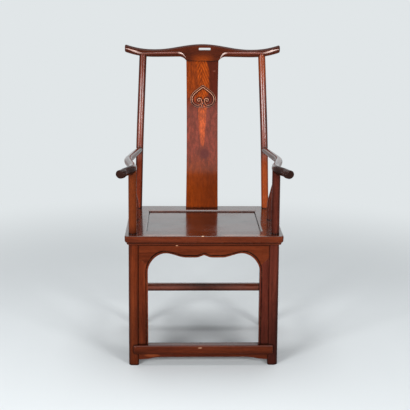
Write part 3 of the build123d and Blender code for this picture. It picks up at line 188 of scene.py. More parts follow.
# --- tones and lacquer that change along a piece: bands of x, y or z in metres -------------
LEG_SHADE_Z = (0.06, 0.40, 0.38, 0.0)            # front legs and aprons darken towards the floor
APRON_SHADOW_Z = (-0.0105, -0.0080, 0.0, 0.6)      # painted shadow line under the front rail, from the rail's underside
RAIL_TOP_SHARE = 0.85
RIM_Y = (0.036, 0.010)                           # painted highlight strip, from the front rail's face back
RIM_INNER_X = (0.050, 0.085)                     # its ends, from the chair's middle to each side
RIM_OUTER_X = (0.235, 0.215)
RIM_NOISE = (30.0, 4.0)
RIM_PATCHES = (0.36, 0.60, 0.25, 0.60)
WARM_LEG_Z = (0.50, 0.56, 0.0, 0.4)
WARM_POST_SEAT_Z = (0.49, 0.53)                  # painted warm light from the seat to the arm, then under the crest
WARM_POST_ARM_Z = (0.78, 0.66, 0.0, 0.5)
WARM_POST_CREST_Z = (1.00, 1.07, 0.0, 0.4)
GRIP_Y = (-0.185, -0.205, 0.0, 0.85)
GRIP_COAT_Y = (-0.205, -0.185, 0.1, 1.0)
STRETCHER_HIGHLIGHT_RISE = 0.001                      # painted highlight strip's middle above the stretcher's
STRETCHER_HIGHLIGHT_Z = (0.007, 0.003, 0.0, 0.9)      # from that middle, up and down
CREST_HEART_X = (0.058, 0.012, 0.0, 0.75)
CREST_HEART_Z = (1.148, 1.112)
CREST_TOP_SHADE_SHARE = 0.5
POST_COAT_ARM_Z = (0.70, 0.745, 0.1, 1.0)        # rear posts shine from the arm to below the crest
POST_COAT_CREST_Z = (1.10, 0.98, 0.3, 1.0)
ARRIS_INNER_X = (0.102, 0.090)                   # the arris's painted highlight is pale inside the first band
ARRIS_OUTER_X = (0.235, 0.275)                   # and outside the second

# --- the same by the way a face looks: bands of the normal's part up, or to a side ---------
RIM_UPWARD = (0.90, 0.99)
# painted shade on the posts' sides
REAR_POST_SIDE_SHADE = (0.40, 0.85, 0.0, 0.7)
FRONT_POST_SIDE_SHADE = (0.15, 0.80, 0.0, 0.4)
POST_COAT_SIDE = (0.45, 0.85, 1.0, 0.15)

# --- the splat's figure: widths in shares of its half width, heights in metres -------------
WANDER_NOISE = (9.0, 3.0)  # the borders between its tones wander from side to side
WANDER_WIDTH = 0.30
SPLAT_SIDE_X = (-0.75, 0.55)                     # from the orange left side to the dark right one
SPLAT_SIDE_Z = (0.66, 0.98, 0.35, 1.0)
WAIST_LOW_Z = (0.66, 0.76, 0.0, 0.85)            # the red waist starts in this band
WAIST_HIGH_Z = (1.01, 0.90)                      # and is gone at the top of this one
DRIFT_PLACE = (3.7, 1.9)
DRIFT_NOISE = (11.0, 2.0)  # the heart's middle drifts from side to side with height
DRIFT_WIDTH = 0.5
NOISE_MIDDLE = 0.5
HEART_LEAN_FOOT = 0.76     # the heart leans to the right from this height
HEART_LEAN = 0.20          # by this much for each metre up
HEART_POINT = 0.765        # height of the heart's lower end
HEART_OPENING = 4.0        # one over the height in which it opens out
HEART_TAPER = 0.4
HEART_WIDTH = 0.35
HEART_BORDER = (0.04, -0.06)
HEART_Z = (0.755, 0.785)
HEART_TONE_Z = (0.82, 1.02)
HEART_PLACE = -0.004       # where the grain's arches peak, from side to side in metres
ARCH_HEIGHT = 0.024        # height from one arch to the next
ARCH_WIDTH = 0.010         # how far to the side an arch reaches as it falls by that height
ARCH_TOP = 4e-6            # square of how far an arch's peak is rounded to each side
ARCH_NOISE = (30.0, 2.0)
ARCH_RAGGED = 0.8
ARCH_LINES = (-0.5, 0.5, 0.75, 0.0)
ARCH_Z = (0.84, 1.00, 0.15, 1.0)
FIGURED_Z = (0.64, 0.76, 0.45, 1.0)              # the board's figure is fainter at its foot
MOTTLE_NOISE = (34.0, 6.0, 2.0)
MOTTLE = (0.36, 0.60, 0.42, 0.0)
VEIN_NOISE = (60.0, 4.0, 1.2)
VEINS = (0.40, 0.56, 0.35, 0.0)
STREAK_STRETCH = (1.0, 1.0, 0.28)
STREAK_NOISE = (110.0, 5.0, 1.0)
STREAKS = (0.42, 0.58, 0.40, 0.0)
SPLAT_FIBRES = (0.35, 0.62, 0.22, 0.0)
COAT_LOW_Z = (0.640, 0.694)                      # the waist keeps most of the board's lacquer
COAT_HIGH_Z = (0.97, 0.90)
COAT_SHARES = (0.06, 0.85)
# how high the carving stands: 1 on a ridge, -1 in a groove
CARVE_GROOVE = (-0.05, -0.6, 0.0, 0.88)
CARVE_RIDGE = (0.3, 0.85)
CARVE_HIGHLIGHT_Z = (-0.062, -0.046, 0.30, 0.9)     # from the cloud-head's point

# --- arris on the crest rail: control points (x, z) of cubic curves ----------------------
CREST_LINES_LEFT = (((-0.309, 1.1595), (-0.285, 1.156), (-0.262, 1.142), (-0.236, 1.1395)),
                    ((-0.236, 1.1395), (-0.190, 1.1415), (-0.130, 1.142), (-0.106, 1.143)),
                    ((-0.106, 1.143), (-0.090, 1.144), (-0.080, 1.142), (-0.067, 1.1235)))
CREST_LINES_RIGHT = (((0.307, 1.159), (0.285, 1.156), (0.266, 1.146), (0.240, 1.143)),
                     ((0.240, 1.143), (0.190, 1.143), (0.130, 1.143), (0.103, 1.1435)),
                     ((0.103, 1.1435), (0.088, 1.143), (0.080, 1.139), (0.072, 1.120)))
LINE_STEPS = 30
LINE_COLUMNS = 9
LINE_RADIUS = 0.0036
LINE_RISE = 0.0020
LINE_DEPTH = 0.002         # how far a raised line's body is sunk into its piece
LINE_END = 0.15            # share of its size that is left at its ends
LINE_GROWTH = 6            # and how fast it grows from there, in shares of its length
LINE_SMOOTHING = 50        # degrees

# --- carved cloud-head on the splat ------------------------------------------------------
RUYI_TOP = 1.005           # height of its point
RUYI_HALF = 0.0445         # half its width
RUYI_HEIGHT = 0.073
RUYI_X = 0.003             # its middle, from side to side
# Right half of its outline as cubic curves, then the volute's eye and the tail's corners:
# x in half widths to the right of its point, z in heights down from it.
RUYI_SHOULDER = ((0, 0), (0.22, -0.13), (0.98, -0.36), (1, -0.64))
RUYI_LOBE = ((1, -0.64), (1, -0.86), (0.72, -1), (0.50, -1))
RUYI_INWARD = ((0.50, -1), (0.26, -1), (0.10, -0.88), (0.14, -0.72))
RUYI_EYE = (0.35, -0.72)
RUYI_TAIL = ((-0.02, -0.80), (-0.12, -0.96), (-0.14, -1.10))
SHOULDER_STEPS = 40
LOBE_STEPS = 30
CURL_STEPS = 40
CURL_TURNS = -1.1
CURL_CLOSING = 0.8         # share of its radius that the volute loses as it winds in
RUYI_STEP = 0.0007         # spacing of the relief's grid
RUYI_MARGIN = 0.011
RIDGE_RISE = 0.0030
RIDGE_RADIUS = 0.0020
FIELD_RISE = 0.0010        # the field within the outline stands this high over the splat
FIELD_INSET = 0.001        # it starts to fall inside the outline, and ends outside the outer line
FIELD_SPREAD = 0.003
FIELD_SINK = 0.0002        # and its border goes this far under the splat's face
GROOVE_HALF = 0.0032
GROOVE_DROP = 0.0005
OUTER_RIDGE_OFFSET = 0.0068      # the fine line's distance outside the outline
OUTER_RIDGE_RISE = 0.0018
OUTER_RIDGE_RADIUS = 0.0014
OUTER_RIDGE_CARVE = 0.75   # how much it counts as carved, where the main line counts one
RELIEF_DEPTH = 0.003       # how far the relief's body is sunk into the splat

RAY_START = -1.0           # depth y from which rays look back, well in front of the chair
SHORTEST = 1e-12           # least square of a segment's length

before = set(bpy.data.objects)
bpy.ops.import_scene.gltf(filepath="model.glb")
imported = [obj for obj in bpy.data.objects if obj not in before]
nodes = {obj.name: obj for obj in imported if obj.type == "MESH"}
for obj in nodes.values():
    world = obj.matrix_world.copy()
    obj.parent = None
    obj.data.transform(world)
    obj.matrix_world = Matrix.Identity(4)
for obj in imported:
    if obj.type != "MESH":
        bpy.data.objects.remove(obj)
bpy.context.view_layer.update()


def linear(colour):
    """An sRGB colour from 0 to 255 as the linear colour that a node socket holds."""
    values = []
    for value in colour:
        share = value / SRGB_FULL
        if share <= SRGB_FOOT:
            values.append(share / SRGB_FOOT_SLOPE)
        else:
            values.append(((share + SRGB_OFFSET) / (1 + SRGB_OFFSET)) ** SRGB_POWER)
    return (*values, 1.0)


def shifted(band, start):
    """A band that is measured from a place of its own."""
    return (band[0] + start, band[1] + start, *band[2:])


class Graph:
    """Short form for building a material's or a world's nodes."""

    def __init__(self, owner):
        owner.use_nodes = True
        self.tree = owner.node_tree
        self.tree.nodes.clear()

    def plug(self, node, key, value):
        if isinstance(value, bpy.types.NodeSocket):
            self.tree.links.new(value, node.inputs[key])
        else:
            node.inputs[key].default_value = value

    def add(self, kind, inputs=None, **settings):
        node = self.tree.nodes.new(kind)
        for key, value in settings.items():
            setattr(node, key, value)
        for key, value in (inputs or {}).items():
            self.plug(node, key, value)
        return node

    def maths(self, operation, first, second=0.0, clamp=False):
        settings = {"operation": operation, "use_clamp": clamp}
        return self.add("ShaderNodeMath", {0: first, 1: second}, **settings).outputs[0]

    def times(self, first, second, clamp=False):
        return self.maths("MULTIPLY", first, second, clamp)

    def plus(self, first, second, clamp=False):
        return self.maths("ADD", first, second, clamp)

    def minus(self, first, second):
        return self.maths("SUBTRACT", first, second)

    def vector(self, operation, first, second=(0.0, 0.0, 0.0)):
        node = self.add("ShaderNodeVectorMath", {0: first, 1: second}, operation=operation)
        return node.outputs["Value" if operation in ("LENGTH", "DOT_PRODUCT") else "Vector"]

    def split(self, vector):
        """The x, y and z of a vector."""
        return tuple(self.add("ShaderNodeSeparateXYZ", {0: vector}).outputs)

    def span(self, value, low, high, to_low=0.0, to_high=1.0):
        """A smooth step between the two ends of a band."""
        inputs = {"Value": value, "From Min": low, "From Max": high, "To Min": to_low, "To Max": to_high}
        return self.add("ShaderNodeMapRange", inputs, interpolation_type="SMOOTHSTEP").outputs[0]

    def noise(self, vector, scale, detail, distortion=0.0):
        inputs = {"Vector": vector, "Scale": scale, "Detail": detail, "Distortion": distortion}
        return self.add("ShaderNodeTexNoise", inputs).outputs[0]

    def openness(self, reach):
        """How open a place is within a reach, least in a corner."""
        inputs = {"Distance": reach}
        return self.add("ShaderNodeAmbientOcclusion", inputs, samples=CORNER_SAMPLES).outputs["AO"]

    def ramp(self, value, places, colours):
        node = self.add("ShaderNodeValToRGB", {0: value})
        while len(node.color_ramp.elements) < len(places):
            node.color_ramp.elements.new(0.5)
        for element, place, colour in zip(node.color_ramp.elements, places, colours):
            element.position = place
            element.color = linear(colour)
        return node.outputs[0]

    def mix(self, share, first, second, blend="MIX"):
        node = self.add("ShaderNodeMix", data_type="RGBA", blend_type=blend)
        for key, value in ((0, share), (6, first), (7, second)):
            self.plug(node, key, value)
        return node.outputs[2]

    def tint(self, colour, share, tone):
        """A colour with a share of an sRGB tone over it."""
        return self.mix(share, colour, linear(tone))


def grain_coordinates(graph, axis, seed):
    """Object coordinates, and the same squeezed along the fibres and moved to the piece's own place."""
    place = graph.add("ShaderNodeTexCoord").outputs["Object"]
    scale = [1.0, 1.0, 1.0]
    scale["XYZ".index(axis)] = GRAIN_STRETCH
    shift = tuple(seed * step for step in SEED_SHIFT)
    inputs = {"Vector": place, "Location": shift, "Scale": scale}
    return place, graph.add("ShaderNodeMapping", inputs).outputs[0]


def wood_colour(graph, grain, place, tones):
    """Figure, fibres and slow blotches in three tones."""
    figure = graph.noise(grain, *FIGURE_NOISE)
    fibre = graph.noise(grain, *FIBRE_NOISE)
    mixed = graph.plus(graph.times(figure, FIGURE_SHARE), graph.times(fibre, FIBRE_SHARE))
    colour = graph.ramp(mixed, TONE_PLACES, tones)
    blotch = graph.span(graph.noise(place, *BLOTCH_NOISE), *BLOTCHES)
    return graph.tint(colour, graph.times(blotch, BLOTCH_SHARE), tones[0])


def marked(graph, colour, place, node):
    """The piece's own small worn or stained places, and painted shadows under the arms."""
    for piece, point, reach, tone in MARKS:
        if piece == node:
            steps = graph.vector("DIVIDE", graph.vector("SUBTRACT", place, point), reach)
            away = graph.vector("LENGTH", steps)
            ragged = graph.plus(away, graph.times(graph.noise(place, *MARK_NOISE), MARK_RAGGED))
            colour = graph.tint(colour, graph.span(ragged, *MARK_EDGE), tone)
    return colour


def finish_wood(graph, colour, grain, place, node, wear, finish, coat_share=1.0, dirt_and_shade=DIRT_AND_SHADE_SHARE):
    """Pores, dirt and painted shade in the joints and creases, rubbed edges, small marks and the gloss
    of the lacquer.
    """
    roughness, undercoat, side_coat, top_coat = finish
    pores = graph.noise(grain, *PORE_NOISE)
    pore_shade = graph.span(pores, *PORES)
    shade = graph.add("ShaderNodeCombineColor", {0: pore_shade, 1: pore_shade, 2: pore_shade})
    colour = graph.mix(1.0, colour, shade.outputs[0], "MULTIPLY")
    # dirt and painted shade where a joint or corner closes in
    nearby = graph.openness(DIRT_AND_SHADE_REACH)
    colour = graph.tint(colour, graph.span(nearby, *DIRT_AND_SHADE_OPENNESS, dirt_and_shade, 0.0), DIRT_AND_SHADE_COLOUR)
    rounded = graph.add("ShaderNodeBevel", {"Radius": WEAR_RADIUS}, samples=WEAR_SAMPLES).outputs[0]
    normal = graph.add("ShaderNodeNewGeometry").outputs["Normal"]
    edge = graph.span(graph.vector("DOT_PRODUCT", rounded, normal), *WEAR_EDGE)
    patchy = graph.span(graph.noise(place, *WEAR_NOISE), *WEAR_PATCHES)
    worn = graph.times(graph.times(edge, patchy), wear, clamp=True)
    colour = graph.tint(colour, worn, WORN_COLOUR)
    colour = marked(graph, colour, place, node)
    # a darker line of dirt and painted shade in each crease
    crease = graph.openness(CREASE_REACH)
    colour = graph.tint(colour, graph.span(crease, *CREASE_OPENNESS, dirt_and_shade, 0.0), DIRT_AND_SHADE_COLOUR)
    smear = graph.noise(place, *SMEAR_NOISE)
    gloss = graph.span(smear, *SMEARS, roughness - SMEAR_SMOOTHER, roughness + SMEAR_ROUGHER)
    upward = graph.split(normal)[2]
    coat = graph.times(graph.span(upward, *TOP_FACES, side_coat, top_coat), coat_share)
    relief = {"Height": pores, "Strength": PORE_RELIEF, "Distance": PORE_DEPTH}
    if not node.startswith(ROUND_PIECES):
        relief["Normal"] = rounded
    bump = graph.add("ShaderNodeBump", relief).outputs[0]
    coat_roughness = POST_COAT_ROUGHNESS if node.startswith("back_post") else COAT_ROUGHNESS
    looks = {"Base Color": colour, "Roughness": gloss, "Normal": bump, "IOR": WOOD_IOR,
             "Specular IOR Level": undercoat, "Coat Weight": coat,
             "Coat Roughness": coat_roughness, "Coat IOR": COAT_IOR}
    shader = graph.add("ShaderNodeBsdfPrincipled", looks)
    graph.add("ShaderNodeOutputMaterial", {"Surface": shader.outputs[0]})


def grain_axis(node):
    """The way the fibres run in a piece."""
    if node.startswith(GRAIN_ALONG_Y):
        return "Y"
    if node.startswith("side_apron") and node.endswith("top"):
        return "Y"
    if node.startswith(GRAIN_ALONG_X):
        return "X"
    return "Z"


def looks_of(node):
    """Tones and finish of a piece."""
    for start, tones, finish in PIECE_LOOKS:
        if node.startswith(start):
            return tones, finish
    return OTHER_LOOKS


def rail_tones(graph, node, colour, place, x, y, upward):
    """Seat rails with darker tops, and a painted highlight strip along the front rail's edge in two
    lengths.
    """
    colour = graph.tint(colour, graph.span(upward, *TOP_FACES, 0.0, RAIL_TOP_SHARE), RAIL_TOP)
    if node == "seat_rail_front":
        aside = graph.maths("ABSOLUTE", x)
        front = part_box(node)[0].y
        # painted highlight along the front rail's rounded edge
        rim = graph.times(graph.span(y, *shifted(RIM_Y, front)), graph.span(upward, *RIM_UPWARD))
        painted_highlight = graph.span(graph.noise(place, *RIM_NOISE), *RIM_PATCHES)
        rim = graph.times(graph.times(rim, graph.span(aside, *RIM_INNER_X)), painted_highlight)
        rim = graph.times(rim, graph.span(aside, *RIM_OUTER_X))
        colour = graph.tint(colour, rim, RAIL_RIM_HIGHLIGHT)
    return colour


def post_tones(graph, node, colour, z, sideways):
    """Posts with painted shade on their sides, and painted warm light where the light falls on two of
    them.
    """
    if node.startswith("back_post"):
        # painted shade on the posts' sides
        colour = graph.tint(colour, graph.span(sideways, *REAR_POST_SIDE_SHADE), DIRT_AND_SHADE_COLOUR)
    if node.startswith("front_post"):
        colour = graph.tint(colour, graph.span(sideways, *FRONT_POST_SIDE_SHADE), DIRT_AND_SHADE_COLOUR)
    # painted warm light on the left front leg above the seat
    if node == "front_post_left":
        colour = graph.tint(colour, graph.span(z, *WARM_LEG_Z), WARM_LEG_LIGHT)
    # painted warm light on the right rear post
    if node == "back_post_right":
        warm_light = graph.times(graph.span(z, *WARM_POST_ARM_Z), graph.span(z, *WARM_POST_SEAT_Z))
        warm_light = graph.maths("MAXIMUM", warm_light, graph.span(z, *WARM_POST_CREST_Z))
        colour = graph.tint(colour, warm_light, WARM_POST_LIGHT)
    return colour


def stretcher_tones(graph, node, colour, z):
    """The back stretcher's painted highlight strip along its middle."""
    low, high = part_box(node)
    middle = (low.z + high.z) / 2 + STRETCHER_HIGHLIGHT_RISE
    height = graph.maths("ABSOLUTE", graph.minus(z, middle))
    # painted highlight along the stretcher's middle
    return graph.tint(colour, graph.span(height, *STRETCHER_HIGHLIGHT_Z), STRETCHER_HIGHLIGHT)


def crest_tones(graph, colour, x, z, upward):
    """The crest rail's orange heart over the splat, and painted shade on its top."""
    middle = graph.span(graph.maths("ABSOLUTE", x), *CREST_HEART_X)
    heart = graph.times(middle, graph.span(z, *CREST_HEART_Z))
    colour = graph.tint(colour, heart, CREST_HEART)
    # painted shade on the crest's top
    return graph.tint(colour, graph.span(upward, *TOP_FACES, 0.0, CREST_TOP_SHADE_SHARE), DIRT_AND_SHADE_COLOUR)


def lacquer_share(graph, node, y, z, sideways):
    """Share of its lacquer that a piece has kept: less on grips and on rear posts' ends and sides."""
    if node.startswith("arm_"):
        return graph.span(y, *GRIP_COAT_Y)
    if node.startswith("back_post"):
        facing = graph.span(sideways, *POST_COAT_SIDE)
        kept = graph.times(graph.span(z, *POST_COAT_ARM_Z), facing)
        return graph.times(graph.span(z, *POST_COAT_CREST_Z), kept)
    return 1.0


def plain_wood(node, seed):
    """A piece's own lacquered hardwood."""
    tones, finish = looks_of(node)
    material = bpy.data.materials.new(f"wood_{node}")
    graph = Graph(material)
    place, grain = grain_coordinates(graph, grain_axis(node), seed)
    colour = wood_colour(graph, grain, place, tones)
    x, y, z = graph.split(place)
    # painted shade: front legs and aprons darker towards the floor
    if node.startswith(("front_post", "front_apron")):
        colour = graph.tint(colour, graph.span(z, *LEG_SHADE_Z), DIRT_AND_SHADE_COLOUR)
    # painted shadow line just under the front rail
    if node == "front_apron_top":
        rail_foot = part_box("seat_rail_front")[0].z
        colour = graph.tint(colour, graph.span(z, *shifted(APRON_SHADOW_Z, rail_foot)), DIRT_AND_SHADE_COLOUR)
    across, _, upward = graph.split(graph.add("ShaderNodeNewGeometry").outputs["Normal"])
    sideways = graph.maths("ABSOLUTE", across)
    if node.startswith("seat_rail"):
        colour = rail_tones(graph, node, colour, place, x, y, upward)
    colour = post_tones(graph, node, colour, z, sideways)
    if node.startswith("arm_"):
        colour = graph.tint(colour, graph.span(y, *GRIP_Y), GRIP_DARK)
    if node == "back_stretcher":
        colour = stretcher_tones(graph, node, colour, z)
    if node == "crest_rail":
        colour = crest_tones(graph, colour, x, z, upward)
    coat_share = lacquer_share(graph, node, y, z, sideways)
    # the back rail gets less of the dirt and painted shade in its joints
    dirt_and_shade = REAR_RAIL_DIRT_AND_SHADE if node == "seat_rail_back" else DIRT_AND_SHADE_SHARE
    finish_wood(graph, colour, grain, place, node, PIECE_WEAR, finish, coat_share, dirt_and_shade)
    return material


def splat_heart_width(graph, z, across):
    """Share of the splat's heart: wide under the crest, drawn to a point at the waist."""
    inputs = {0: DRIFT_PLACE[0], 1: DRIFT_PLACE[1], 2: z}
    height_only = graph.add("ShaderNodeCombineXYZ", inputs).outputs[0]
    drift = graph.times(graph.minus(graph.noise(height_only, *DRIFT_NOISE), NOISE_MIDDLE), DRIFT_WIDTH)
    centre = graph.plus(graph.times(graph.minus(z, HEART_LEAN_FOOT), HEART_LEAN), drift)
    aside = graph.maths("ABSOLUTE", graph.minus(across, centre))
    reach = graph.times(graph.minus(z, HEART_POINT), HEART_OPENING, clamp=True)
    width = graph.times(graph.maths("POWER", reach, HEART_TAPER), HEART_WIDTH)
    within = graph.span(graph.minus(aside, width), *HEART_BORDER)
    return graph.times(within, graph.span(z, *HEART_Z))


def splat_arches(graph, grain, x, z):
    """Share of the pointed arches that the grain draws one above another in the heart."""
    aside = graph.minus(x, HEART_PLACE)
    rounded = graph.maths("SQRT", graph.plus(graph.times(aside, aside), ARCH_TOP))
    steps = graph.plus(graph.maths("DIVIDE", z, ARCH_HEIGHT), graph.maths("DIVIDE", rounded, ARCH_WIDTH))
    steps = graph.plus(steps, graph.times(graph.noise(grain, *ARCH_NOISE), ARCH_RAGGED))
    waves = graph.maths("SINE", graph.times(steps, 2 * math.pi))
    return graph.times(graph.span(waves, *ARCH_LINES), graph.span(z, *ARCH_Z))


def splat_wood(name, seed, carved=False):
    """The splat's board: an orange heart that tapers downwards between darker sides."""
    material = bpy.data.materials.new(name)
    graph = Graph(material)
    place, grain = grain_coordinates(graph, "Z", seed)
    x, _, z = graph.split(place)
    low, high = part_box("back_splat")
    half = (high.x - low.x) / 2
    wander = graph.times(graph.minus(graph.noise(grain, *WANDER_NOISE), NOISE_MIDDLE), WANDER_WIDTH)
    across = graph.plus(graph.maths("DIVIDE", x, half), wander)
    side = graph.times(graph.span(across, *SPLAT_SIDE_X), graph.span(z, *SPLAT_SIDE_Z))
    colour = graph.tint(linear(SPLAT_ORANGE), side, SPLAT_DARK)
    waist = graph.times(graph.span(z, *WAIST_LOW_Z), graph.span(z, *WAIST_HIGH_Z))
    colour = graph.tint(colour, waist, SPLAT_RED)
    within = splat_heart_width(graph, z, across)
    arches = splat_arches(graph, grain, x, z)
    figured = graph.span(z, *FIGURED_Z)
    mottle = graph.times(graph.span(graph.noise(grain, *MOTTLE_NOISE), *MOTTLE), figured)
    colour = graph.tint(colour, mottle, SPLAT_GRAIN)
    heart = graph.tint(linear(HEART_GLOW), graph.span(z, *HEART_TONE_Z), HEART_ORANGE)
    veins = graph.span(graph.noise(grain, *VEIN_NOISE), *VEINS)
    heart = graph.tint(heart, graph.maths("MAXIMUM", veins, arches), HEART_VEIN)
    colour = graph.mix(within, colour, heart)
    streaked = graph.vector("MULTIPLY", place, STREAK_STRETCH)
    streaks = graph.times(graph.span(graph.noise(streaked, *STREAK_NOISE), *STREAKS), figured)
    colour = graph.tint(colour, streaks, SPLAT_GRAIN)
    fibre = graph.span(graph.noise(grain, *FIBRE_NOISE), *SPLAT_FIBRES)
    colour = graph.tint(colour, fibre, SPLAT_GRAIN)
    if carved:
        carve = graph.add("ShaderNodeAttribute", attribute_name="carve").outputs["Fac"]
        colour = graph.tint(colour, graph.span(carve, *CARVE_GROOVE), CARVE_SHADE)
        # painted highlight on the upper ridges of the carving
        painted_highlight = graph.span(z, *shifted(CARVE_HIGHLIGHT_Z, RUYI_TOP))
        painted_highlight = graph.times(graph.span(carve, *CARVE_RIDGE), painted_highlight)
        colour = graph.tint(colour, painted_highlight, CARVE_HIGHLIGHT)
    lacquered = graph.times(graph.span(z, *COAT_LOW_Z), graph.span(z, *COAT_HIGH_Z))
    coat_share = graph.span(lacquered, 0.0, 1.0, *COAT_SHARES)
    finish_wood(graph, colour, grain, place, "back_splat", SPLAT_WEAR, SPLAT_FINISH, coat_share)
    return material


def arris_wood():
    """The arris, with a painted highlight: pale beside the splat and at the crest's tips, and faint
    between them.
    """
    material = bpy.data.materials.new("wood_crest_arris")
    graph = Graph(material)
    place, grain = grain_coordinates(graph, "X", ARRIS_SEED)
    # painted highlight, pale at the ends and faint between
    painted_highlight = wood_colour(graph, grain, place, ARRIS_HIGHLIGHT)
    faint = wood_colour(graph, grain, place, ARRIS_FAINT_HIGHLIGHT)
    aside = graph.maths("ABSOLUTE", graph.split(place)[0])
    ends = graph.plus(graph.span(aside, *ARRIS_INNER_X), graph.span(aside, *ARRIS_OUTER_X), clamp=True)
    colour = graph.mix(ends, faint, painted_highlight)
    finish_wood(graph, colour, grain, place, "crest_arris", 0.0, ARRIS_FINISH)
    return material


def dress_nodes():
    """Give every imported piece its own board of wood."""
    for seed, name in enumerate(sorted(nodes), start=1):
        if name == "back_splat":
            material = splat_wood("wood_back_splat", seed)
        else:
            material = plain_wood(name, seed)
        piece = nodes[name]
        piece.data.materials.clear()
        piece.data.materials.append(material)


def bezier(points, steps):
    """Points along a cubic curve."""
    share = np.linspace(0, 1, steps)[:, None]
    a, b, c, d = (np.array(point, float) for point in points)
    rest = 1 - share
    return a * rest ** 3 + 3 * b * rest ** 2 * share + 3 * c * rest * share ** 2 + d * share ** 3


def spiral(centre, start, turns, steps):
    """Points that wind in from start towards centre."""
    centre, start = np.array(centre, float), np.array(start, float)
    reach = start - centre
    radius, angle = np.hypot(*reach), math.atan2(reach[1], reach[0])
    share = np.linspace(0, 1, steps)
    angles = angle + 2 * math.pi * turns * share
    radii = radius * (1 - CURL_CLOSING * share)
    return centre + np.stack([radii * np.cos(angles), radii * np.sin(angles)], 1)


def ruyi_points(points):
    """Points of the cloud-head in metres from its own point."""
    return [(x * RUYI_HALF, z * RUYI_HEIGHT) for x, z in points]


def ruyi_half():
    """Right half of the cloud-head's line, and how many of its points belong to the closed outline."""
    shoulder = bezier(ruyi_points(RUYI_SHOULDER), SHOULDER_STEPS)
    lobe = bezier(ruyi_points(RUYI_LOBE), LOBE_STEPS)
    inward = bezier(ruyi_points(RUYI_INWARD), LOBE_STEPS)
    eye, start = ruyi_points((RUYI_EYE, RUYI_INWARD[-1]))
    curl = spiral(eye, start, CURL_TURNS, CURL_STEPS)
    return np.concatenate([shoulder, lobe[1:], inward[1:], curl[1:]]), len(shoulder) + len(lobe) - 1


def distance_to(points, path):
    """Least distance from each point to a polyline."""
    best = np.full(len(points), np.inf)
    for start, end in zip(path[:-1], path[1:]):
        along = end - start
        share = np.clip(((points - start) @ along) / max(along @ along, SHORTEST), 0, 1)
        best = np.minimum(best, np.hypot(*(points - start - share[:, None] * along).T))
    return best


def inside(points, outline):
    """Which points lie inside a closed outline."""
    odd = np.zeros(len(points), bool)
    for (x0, z0), (x1, z1) in zip(outline, np.roll(outline, -1, 0)):
        if z0 == z1:
            continue
        crosses = (z0 > points[:, 1]) != (z1 > points[:, 1])
        odd ^= crosses & (points[:, 0] < (x1 - x0) * (points[:, 1] - z0) / (z1 - z0) + x0)
    return odd


def ridge(distance, radius, rise):
    """Rounded ridge of a height about a line."""
    return rise * np.sqrt(np.clip(1 - (distance / radius) ** 2, 0, 1))


def front_of(node):
    """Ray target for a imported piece."""
    return BVHTree.FromObject(nodes[node], bpy.context.evaluated_depsgraph_get())


def front_depth(tree, x, z):
    """Depth y of the front face behind a point (x, z)."""
    return tree.ray_cast(Vector((x, RAY_START, z)), Vector((0, 1, 0)))[0].y


def link_piece(name, mesh, material):
    """Put a piece of the looks in the scene, riding on the chair, and select it alone."""
    piece = bpy.data.objects.new(name, mesh)
    bpy.context.scene.collection.objects.link(piece)
    mesh.materials.append(material)
    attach(piece, "root")
    bpy.ops.object.select_all(action="DESELECT")
    bpy.context.view_layer.objects.active = piece
    piece.select_set(True)
    return piece


def raised_line(name, node, path, material):
    """A low rounded ridge along a path (x, z) on the front of a piece, dying away at both ends."""
    tree = front_of(node)
    vertices, faces = [], []
    last = len(path) - 1
    ring = 2 * LINE_COLUMNS
    for index, point in enumerate(path):
        along = path[min(index + 1, last)] - path[max(index - 1, 0)]
        across = np.array((-along[1], along[0])) / np.hypot(*along)
        from_start = LINE_END + LINE_GROWTH * index / last
        from_end = LINE_END + LINE_GROWTH * (last - index) / last
        fade = min(1.0, from_start, from_end)
        front, back = [], []
        for share in np.linspace(-1, 1, LINE_COLUMNS):
            x, z = point + across * share * LINE_RADIUS * fade
            y = front_depth(tree, x, z)
            front.append((x, y - LINE_RISE * fade * math.sqrt(max(0.0, 1 - share * share)), z))
            back.append((x, y + LINE_DEPTH, z))
        vertices += front + back[::-1]
    for index in range(last):
        base = index * ring
        for k in range(ring):
            following = (k + 1) % ring
            faces.append((base + k, base + following, base + ring + following, base + ring + k))
    faces.append(tuple(range(ring - 1, -1, -1)))
    faces.append(tuple(last * ring + k for k in range(ring)))
    mesh = bpy.data.meshes.new(name)
    mesh.from_pydata(vertices, [], faces)
    link_piece(name, mesh, material)
    bpy.ops.object.mode_set(mode="EDIT")
    bpy.ops.mesh.select_all(action="SELECT")
    bpy.ops.mesh.normals_make_consistent(inside=False)
    bpy.ops.object.mode_set(mode="OBJECT")
    bpy.ops.object.shade_smooth_by_angle(angle=math.radians(LINE_SMOOTHING))


def crest_arris():
    """The arris that runs along the crest's front from each tip to the shoulder beside the splat."""
    material = arris_wood()
    for side, curves in (("left", CREST_LINES_LEFT), ("right", CREST_LINES_RIGHT)):
        pieces = [bezier(curve, LINE_STEPS) for curve in curves]
        path = np.concatenate([pieces[0]] + [piece[1:] for piece in pieces[1:]])
        raised_line(f"crest_arris_{side}", "crest_rail", path, material)


